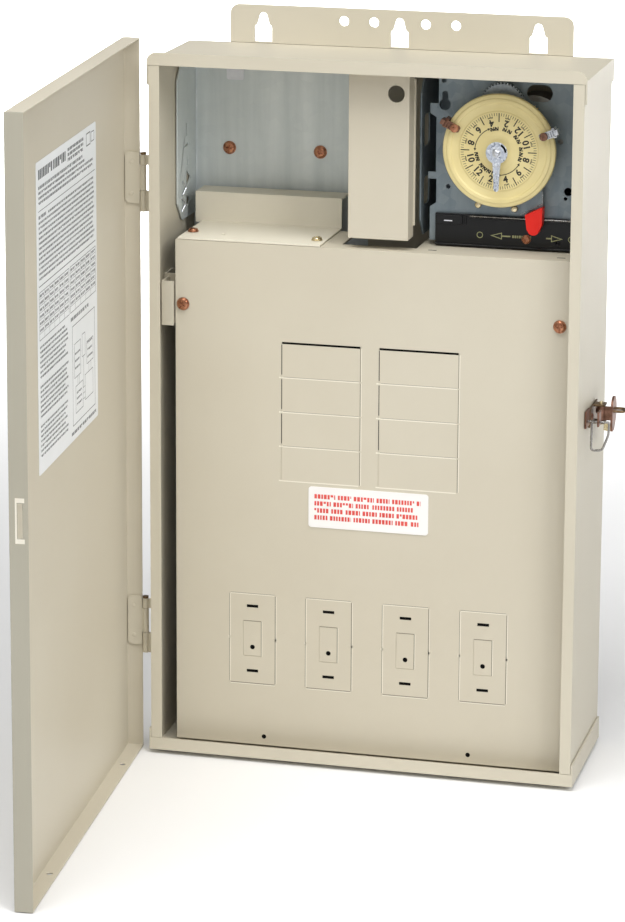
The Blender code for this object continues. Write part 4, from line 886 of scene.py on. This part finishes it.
def add_words(bm, x0, x1, z, tall, y=0.0, fill=(2.4, 7.0), gap=None, ragged=0.0):
    """A greeked line of print: words made of short bars, no letters."""
    gap = tall * 0.55 if gap is None else gap
    cursor = x0
    stop = x1 - random.uniform(0, ragged) * (x1 - x0)
    while cursor < stop - tall * 0.5:
        word = min(random.uniform(*fill) * tall * 0.5, stop - cursor)
        letter = cursor
        while letter < cursor + word - 0.05 * tall:
            wide = min(random.uniform(0.36, 0.62) * tall, cursor + word - letter)
            z0 = z + (tall * 0.5 if random.random() < 0.12 else 0)
            add_print(bm, letter, letter + wide, z0, z + tall, y)
            letter += wide + tall * 0.2
        cursor += word + gap


def warning_label():
    """White film on the dead front with four greeked red lines."""
    face = COVER_FACE - 0.55
    bm = bmesh.new()
    add_plate(bm, [rounded_rectangle(-41.9, 46.1, 173.1, 203.3, 2.2, 8)], face, COVER_FACE - 0.05)
    piece("warning_film", bm, FILM, "enclosure", "warning_label", edge=0.06)
    bm = bmesh.new()
    for row, stop in enumerate((40.5, 38.4, 40.5, 39.2)):
        add_words(bm, -37.5, stop, 194.6 - 5.2 * row, 3.3, face, fill=(5.0, 11.0), gap=1.9)
    piece("warning_print", bm, RED_INK, "enclosure")


def instruction_sheet():
    """White sheet inside the door, with its print as seen from inside."""
    paper_back, paper_face = DOOR_LINING + 0.1, DOOR_LINING + 0.5
    bm = bmesh.new()
    add_plate(bm, [rounded_rectangle(SHEET_LEFT, SHEET_RIGHT, SHEET_LOW, SHEET_HIGH, 1.5, 4)],
              paper_back, paper_face)
    bm.transform(DOOR_SWING)
    piece("instruction_paper", bm, PAPER, "door", "instruction_sheet", edge=0.05)
    bm = bmesh.new()
    sheet_headings(bm, SHEET_HIGH)
    sheet_tables(bm, SHEET_HIGH)
    for k in range(23):
        if k % 8 != 7:
            add_words(bm, 5, 82, SHEET_HIGH - 123.5 - 3.3 * k, 1.5, ragged=0.15)
    sheet_diagram(bm, SHEET_LOW, SHEET_HIGH)
    for vert in bm.verts:
        x, depth, z = vert.co
        vert.co = Vector(((SHEET_RIGHT - x / MM) * MM, paper_face * MM - depth, z))
    bm.transform(DOOR_SWING)
    piece("instruction_print", bm, SHEET_INK, "door")


def sheet_headings(bm, high):
    """Title, two empty frames and the upper paragraphs; x runs from the free edge to the hinge."""
    width = SHEET_RIGHT - SHEET_LEFT
    add_words(bm, 5, 78, high - 12, 6.4, fill=(9, 13), gap=3.0)
    for k in range(3):
        add_words(bm, 84, 128, high - 7 - 3.4 * k, 2.1, fill=(4, 8))
    add_frame(bm, 136, 148, high - 13, high - 4, 0.8)
    add_frame(bm, 150, 159, high - 12, high - 5, 0.6)
    for k in range(4):
        add_words(bm, 5, 156, high - 18.5 - 3.3 * k, 1.7 if k else 2.1, ragged=0.25)
    add_print(bm, 4, width - 4, high - 33, high - 32.55)
    add_words(bm, 5, 26, high - 38, 2.2)
    for k in range(13):
        add_words(bm, 5 if k else 30, 158, high - 38 - 3.35 * k, 1.5, ragged=0.04)
    add_print(bm, 4, width - 4, high - 82.5, high - 81.9)


def sheet_tables(bm, high):
    """Two ruled tables of greeked entries side by side."""
    top, bottom, rows = high - 86, high - 118, 7
    for x0, x1, columns in ((4, 84, 6), (87, 160, 5)):
        starts = [x0 + (x1 - x0) * column / columns for column in range(columns)]
        add_frame(bm, x0, x1, bottom, top, 0.4)
        for row in range(1, rows):
            z = top - row * (top - bottom) / rows
            add_print(bm, x0, x1, z, z + 0.25)
            for start in starts:
                add_words(bm, start + 1.6, start + (x1 - x0) / columns - 1.6, z + 1.2, 1.7)
        for x in starts[1:]:
            add_print(bm, x, x + 0.3, bottom, top)


def sheet_diagram(bm, low, high):
    """A framed wiring diagram: empty boxes, lines between them and greeked notes."""
    add_words(bm, 88, 140, high - 124, 2.4)
    add_frame(bm, 92, 156, low + 10, high - 128, 0.5)
    for x0, x1, z0, z1 in ((97, 115, 42, 66), (119, 128, 52, 68), (132, 151, 44, 60), (100, 121, 17, 36),
                           (127, 150, 20, 38)):
        add_frame(bm, x0, x1, low + z0, low + z1, 0.4)
    for x, z0, z1 in ((106, 36, 42), (110, 36, 42), (123, 30, 52), (138, 38, 44), (144, 38, 44)):
        add_print(bm, x, x + 0.4, low + z0, low + z1)
    for z in (22, 26, 30):
        add_print(bm, 121, 127, low + z, low + z + 0.35)
        add_words(bm, 103, 118, low + z, 1.4)
    for z in (48, 53, 58):
        add_words(bm, 134, 149, low + z, 1.4)
        add_words(bm, 99, 113, low + z, 1.4)
    add_words(bm, 88, 158, low + 4, 2.2)


# ---------------- small sheet-metal details

def pressed_details():
    """Lanced loops, a painted highlight along a fold, slots drawn in painted shade and rivets around the
    two upper compartments.
    """
    bm = bmesh.new()
    for height, y in ((392.5, -40.5), (404.5, -38.5)):
        loop = [spot(-151.9, y, height + 5.0), spot(-150.2, y + 4.5, height + 0.5),
                spot(-151.9, y, height - 5.0)]
        add_tube(bm, rounded_path(loop, 1.4, 4), 0.55, 8)
    piece("lanced_loops", bm, SILVER, "enclosure")
    bm = bmesh.new()
    # Dark blocks on the shelf: painted shade standing for its two slots.
    for x, y in ((43.9, -81.5), (136.4, -83.1)):
        add_block(bm, (x - 3.0, x + 3.0), (y - 0.8, y + 0.8), (SHELF_TOP, SHELF_TOP + 0.15))
    piece("shelf_slots_painted_shade", bm, HOLE_SHADE, "enclosure")
    bm = bmesh.new()
    add_block(bm, (CHASSIS_CORNER, CHASSIS_CORNER + 1.3), (CHASSIS_FACE - 0.35, CHASSIS_FACE),
              (396.0, 498.0))
    piece("painted_fold_highlight", bm, FOLD_HIGHLIGHT, "enclosure")
    bm = bmesh.new()
    for x, height in ((72.4, 409.0), (98.5, 407.4)):
        add_turned(bm, [(0, 0), (2.5, 0), (2.5, 0.5), (1.9, 1.3), (0.8, 1.6), (0, 1.6)],
                   spot(x, PLATE_FACE, height), FORWARD, 28)
    piece("plate_rivets", bm, GOLD, "enclosure")


def door_details():
    """Half-pierced spots on the hinge leaves, and painted highlights on the edges of the keeper's slot.
    """
    bm = bmesh.new()
    for centre in HINGE_HEIGHTS:
        for shift in (-11.5, 11.5):
            add_turned(bm, [(0, 0), (1.7, 0), (1.5, 0.35), (0.8, 0.5), (0, 0.5)],
                       spot(DOOR_LEFT + 2.65, HINGE_Y - 8.6, centre + shift), RIGHTWARD, 24)
    bm.transform(DOOR_SWING)
    piece("hinge_leaf_spots", bm, PAINT_INNER, "door")
    # Pale strips around the keeper's slot: painted highlights on its edges.
    bm = bmesh.new()
    face = DOOR_RIGHT + 0.03
    front, back, inner, outer = FRONT + 1.0, FRONT + 7.2, 12.0, 15.0
    for y0, y1, low, high in ((front, back, inner, outer), (front, back, -outer, -inner),
                              (front, front + 1.2, -inner, inner)):
        add_block(bm, (face - 0.1, face), (y0, y1), (LATCH_Z + low, LATCH_Z + high))
    bm.transform(DOOR_SWING)
    piece("keeper_slot_highlights", bm, EDGE_HIGHLIGHT, "door")


def strip(bm, x0, x1, z0, z1):
    """A thin strip on the dead front's face, used for painted highlights, painted shadows and painted
    shade in gaps.
    """
    add_patch(bm, x0, x1, z0, z1, COVER_FACE - 0.05, COVER_FACE + 0.03)


def sunk(bm, outline):
    """A dark plate just inside a hole of the dead front: painted shade for the hole's unlit inside."""
    add_plate(bm, [outline], COVER_FACE + 0.15, COVER_FACE + 1.1)


def twist_out_edges(dark, light, hole):
    """Painted shade for the gap above each column of four twist-outs, and painted shadow and highlight
    lines around each one.
    """
    rows = 4
    for x0, x1 in TWIST_OUT_COLUMNS:
        strip(hole, x0 + 0.2, x1 - 0.4, TWIST_OUT_TOP - 0.75, TWIST_OUT_TOP + 0.75)
        for row in range(rows):
            high, low = (TWIST_OUT_TOP - TWIST_OUT_PITCH * k for k in (row, row + 1))
            strip(dark, x1 - 0.35, x1 + 0.35, low + 0.4, high - 0.6)
            strip(light, x1 + 0.35, x1 + 0.95, low + 0.4, high - 0.6)
            strip(light, x0 + 0.8, x1 - 1.0, low - 0.55, low + 0.25)
            strip(light, x0 - 1.9, x0 + 0.9, low - 0.5, low + 0.5)
            if row < rows - 1:
                strip(hole, x0 - 0.25, x0 + 0.3, low + 2.2, high - 1.2)
                strip(dark, x0 + 1.2, x1 - 1.0, low + 0.25, low + 0.6)


def device_edges(dark, light, hole, centre):
    """One device knockout: painted shadow and highlight lines on its four edges, painted highlights on
    two break ties, painted shadow and highlight on the toggle's step, and painted shade in three holes.
    """
    x0, x1, low, high = centre - DEVICE_HALF, centre + DEVICE_HALF, DEVICE_LOW, DEVICE_HIGH
    middle = (low + high) / 2
    strip(dark, x1 - 0.3, x1 + 0.4, low + 0.6, high - 1.0)
    strip(dark, x0 + 0.8, x1 - 0.4, low - 0.45, low + 0.25)
    strip(dark, x0 - 0.25, x0 + 0.2, low + 0.8, high - 0.8)
    strip(dark, x0 + 0.6, x1 - 0.6, high - 0.1, high + 0.3)
    strip(light, x0 + 0.2, x0 + 0.8, low + 0.8, high - 0.8)
    strip(light, x0 + 0.6, x1 - 0.6, high - 0.75, high - 0.1)
    strip(light, x1 + 0.4, x1 + 0.9, low + 0.6, high - 1.0)
    strip(light, x0 + 0.6, x1 - 0.2, low - 1.0, low - 0.45)
    for x in (x0 - 1.1, x1 - 0.5):
        strip(light, x, x + 1.6, middle - 0.8, middle + 0.8)
    right, top, bottom = centre + TOGGLE_HALF, middle + 2 * TOGGLE_HALF, middle - 2 * TOGGLE_HALF
    strip(dark, centre - TOGGLE_HALF, right, top - 0.2, top + 0.4)
    strip(dark, right - 0.2, right + 0.35, bottom, top)
    strip(light, right + 0.35, right + 0.8, bottom, top)
    for z in (low + 9.4, high - 9.4):
        sunk(hole, rounded_rectangle(centre - 4.25, centre + 4.25, z - 1.05, z + 1.05, 0.2))
    sunk(hole, ring_points(centre, middle - 6.5, 1.75, steps=24))


def cover_edges():
    """Painted shadow and highlight lines on the dead front's sheared edges, and painted shade in its
    holes.
    """
    dark, light, hole = bmesh.new(), bmesh.new(), bmesh.new()
    twist_out_edges(dark, light, hole)
    for centre in DEVICE_CENTRES:
        device_edges(dark, light, hole, centre)
    for x in (-74.8, 77.4):
        sunk(hole, ring_points(x, 11.0, 1.7, steps=24))
    piece("cover_edges_painted_shadow", dark, EDGE_SHADOW, "enclosure")
    piece("cover_edges_painted_highlight", light, EDGE_HIGHLIGHT, "enclosure")
    piece("cover_slots_painted_shade", hole, HOLE_SHADE, "enclosure")


# ---------------- stage

WORLD_STRENGTH = 0.3
LIGHTS = (
    # name, place, target, size, watts, spread in degrees
    ("key", (2.9, -2.2, 2.3), (0.0, -0.15, 0.0), (1.7, 1.7), 66.0, 180),
    ("front", (0.4, -3.4, 1.5), (0.0, -0.1, 0.0), (2.4, 2.0), 10.0, 180),
    ("left", (-2.6, -2.4, 1.6), (0.0, -0.1, 0.0), (1.6, 1.6), 4.0, 180),
    ("top", (0.0, -1.1, 2.3), (0.0, -0.1, 0.2), (1.8, 1.2), 49.0, 180),
    ("backdrop", (-1.3, 3.3, 3.0), (-1.3, 3.3, 0.0), (5.0, 3.4), 250.0, 48),
)
CAMERA_PLACE = (0.571, -2.4833, 0.6346)
CAMERA_YAW, CAMERA_PITCH, CAMERA_ROLL = 0.24233, 0.21999, 0.0069
CAMERA_LENS, CAMERA_SHIFT = 139.16, (-0.03, -0.17)


def floor():
    """A wide pale floor just below the object."""
    half, drop = 9.0, CAD_LOW.z - 0.5 * MM
    corners = ((-half, -half), (half, -half), (half, half), (-half, half))
    bm = bmesh.new()
    bm.faces.new([bm.verts.new((x, y, drop)) for x, y in corners])
    made = mesh_object("floor", bm)
    pale = bpy.data.materials.new("pale_floor")
    pale.use_nodes = True
    shader = pale.node_tree.nodes["Principled BSDF"]
    shader.inputs["Base Color"].default_value = (0.92, 0.92, 0.92, 1.0)
    shader.inputs["Roughness"].default_value = 0.9
    made.data.materials.append(pale)


def lights():
    """A white world and soft area lights."""
    bpy.context.scene.view_settings.view_transform = "Standard"
    world = bpy.data.worlds.new("studio")
    bpy.context.scene.world = world
    world.use_nodes = True
    sky = world.node_tree.nodes["Background"]
    sky.inputs["Color"].default_value = (1.0, 1.0, 1.0, 1.0)
    sky.inputs["Strength"].default_value = WORLD_STRENGTH
    for name, place, target, size, power, spread_angle in LIGHTS:
        light = bpy.data.lights.new(name, "AREA")
        light.shape = "RECTANGLE"
        light.size, light.size_y = size
        light.energy = power
        light.spread = math.radians(spread_angle)
        holder = new_object(name, light)
        holder.location = place
        holder.rotation_euler = (Vector(target) - Vector(place)).to_track_quat("-Z", "Y").to_euler()


def camera():
    """A long lens above and to the right of the object."""
    lens = bpy.data.cameras.new("camera")
    lens.lens = CAMERA_LENS
    lens.sensor_width = 36.0
    lens.shift_x, lens.shift_y = CAMERA_SHIFT
    lens.clip_start, lens.clip_end = 0.05, 60.0
    holder = new_object("camera", lens)
    aim = Matrix.Rotation(CAMERA_YAW, 4, "Z") @ Matrix.Rotation(math.pi / 2 - CAMERA_PITCH, 4, "X")
    holder.matrix_world = Matrix.Translation(CAMERA_PLACE) @ aim @ Matrix.Rotation(CAMERA_ROLL, 4, "Z")
    bpy.context.scene.camera = holder


def main():
    for node, obj in NODES.items():
        dress(node, obj)
    for screw_facts in SCREWS:
        screw(*screw_facts)
    dial_dish()
    dial_print()
    pointer()
    tripper("tripper_on", 21.0, SILVER, COPPER_DARK, "on_tripper")
    tripper("tripper_off", 153.5, COPPER_DARK, COPPER, "off_tripper")
    grip()
    insulator()
    lever_marks()
    latch_bracket()
    latch_handle()
    bail()
    warning_label()
    instruction_sheet()
    pressed_details()
    door_details()
    cover_edges()
    floor()
    lights()
    camera()


main()
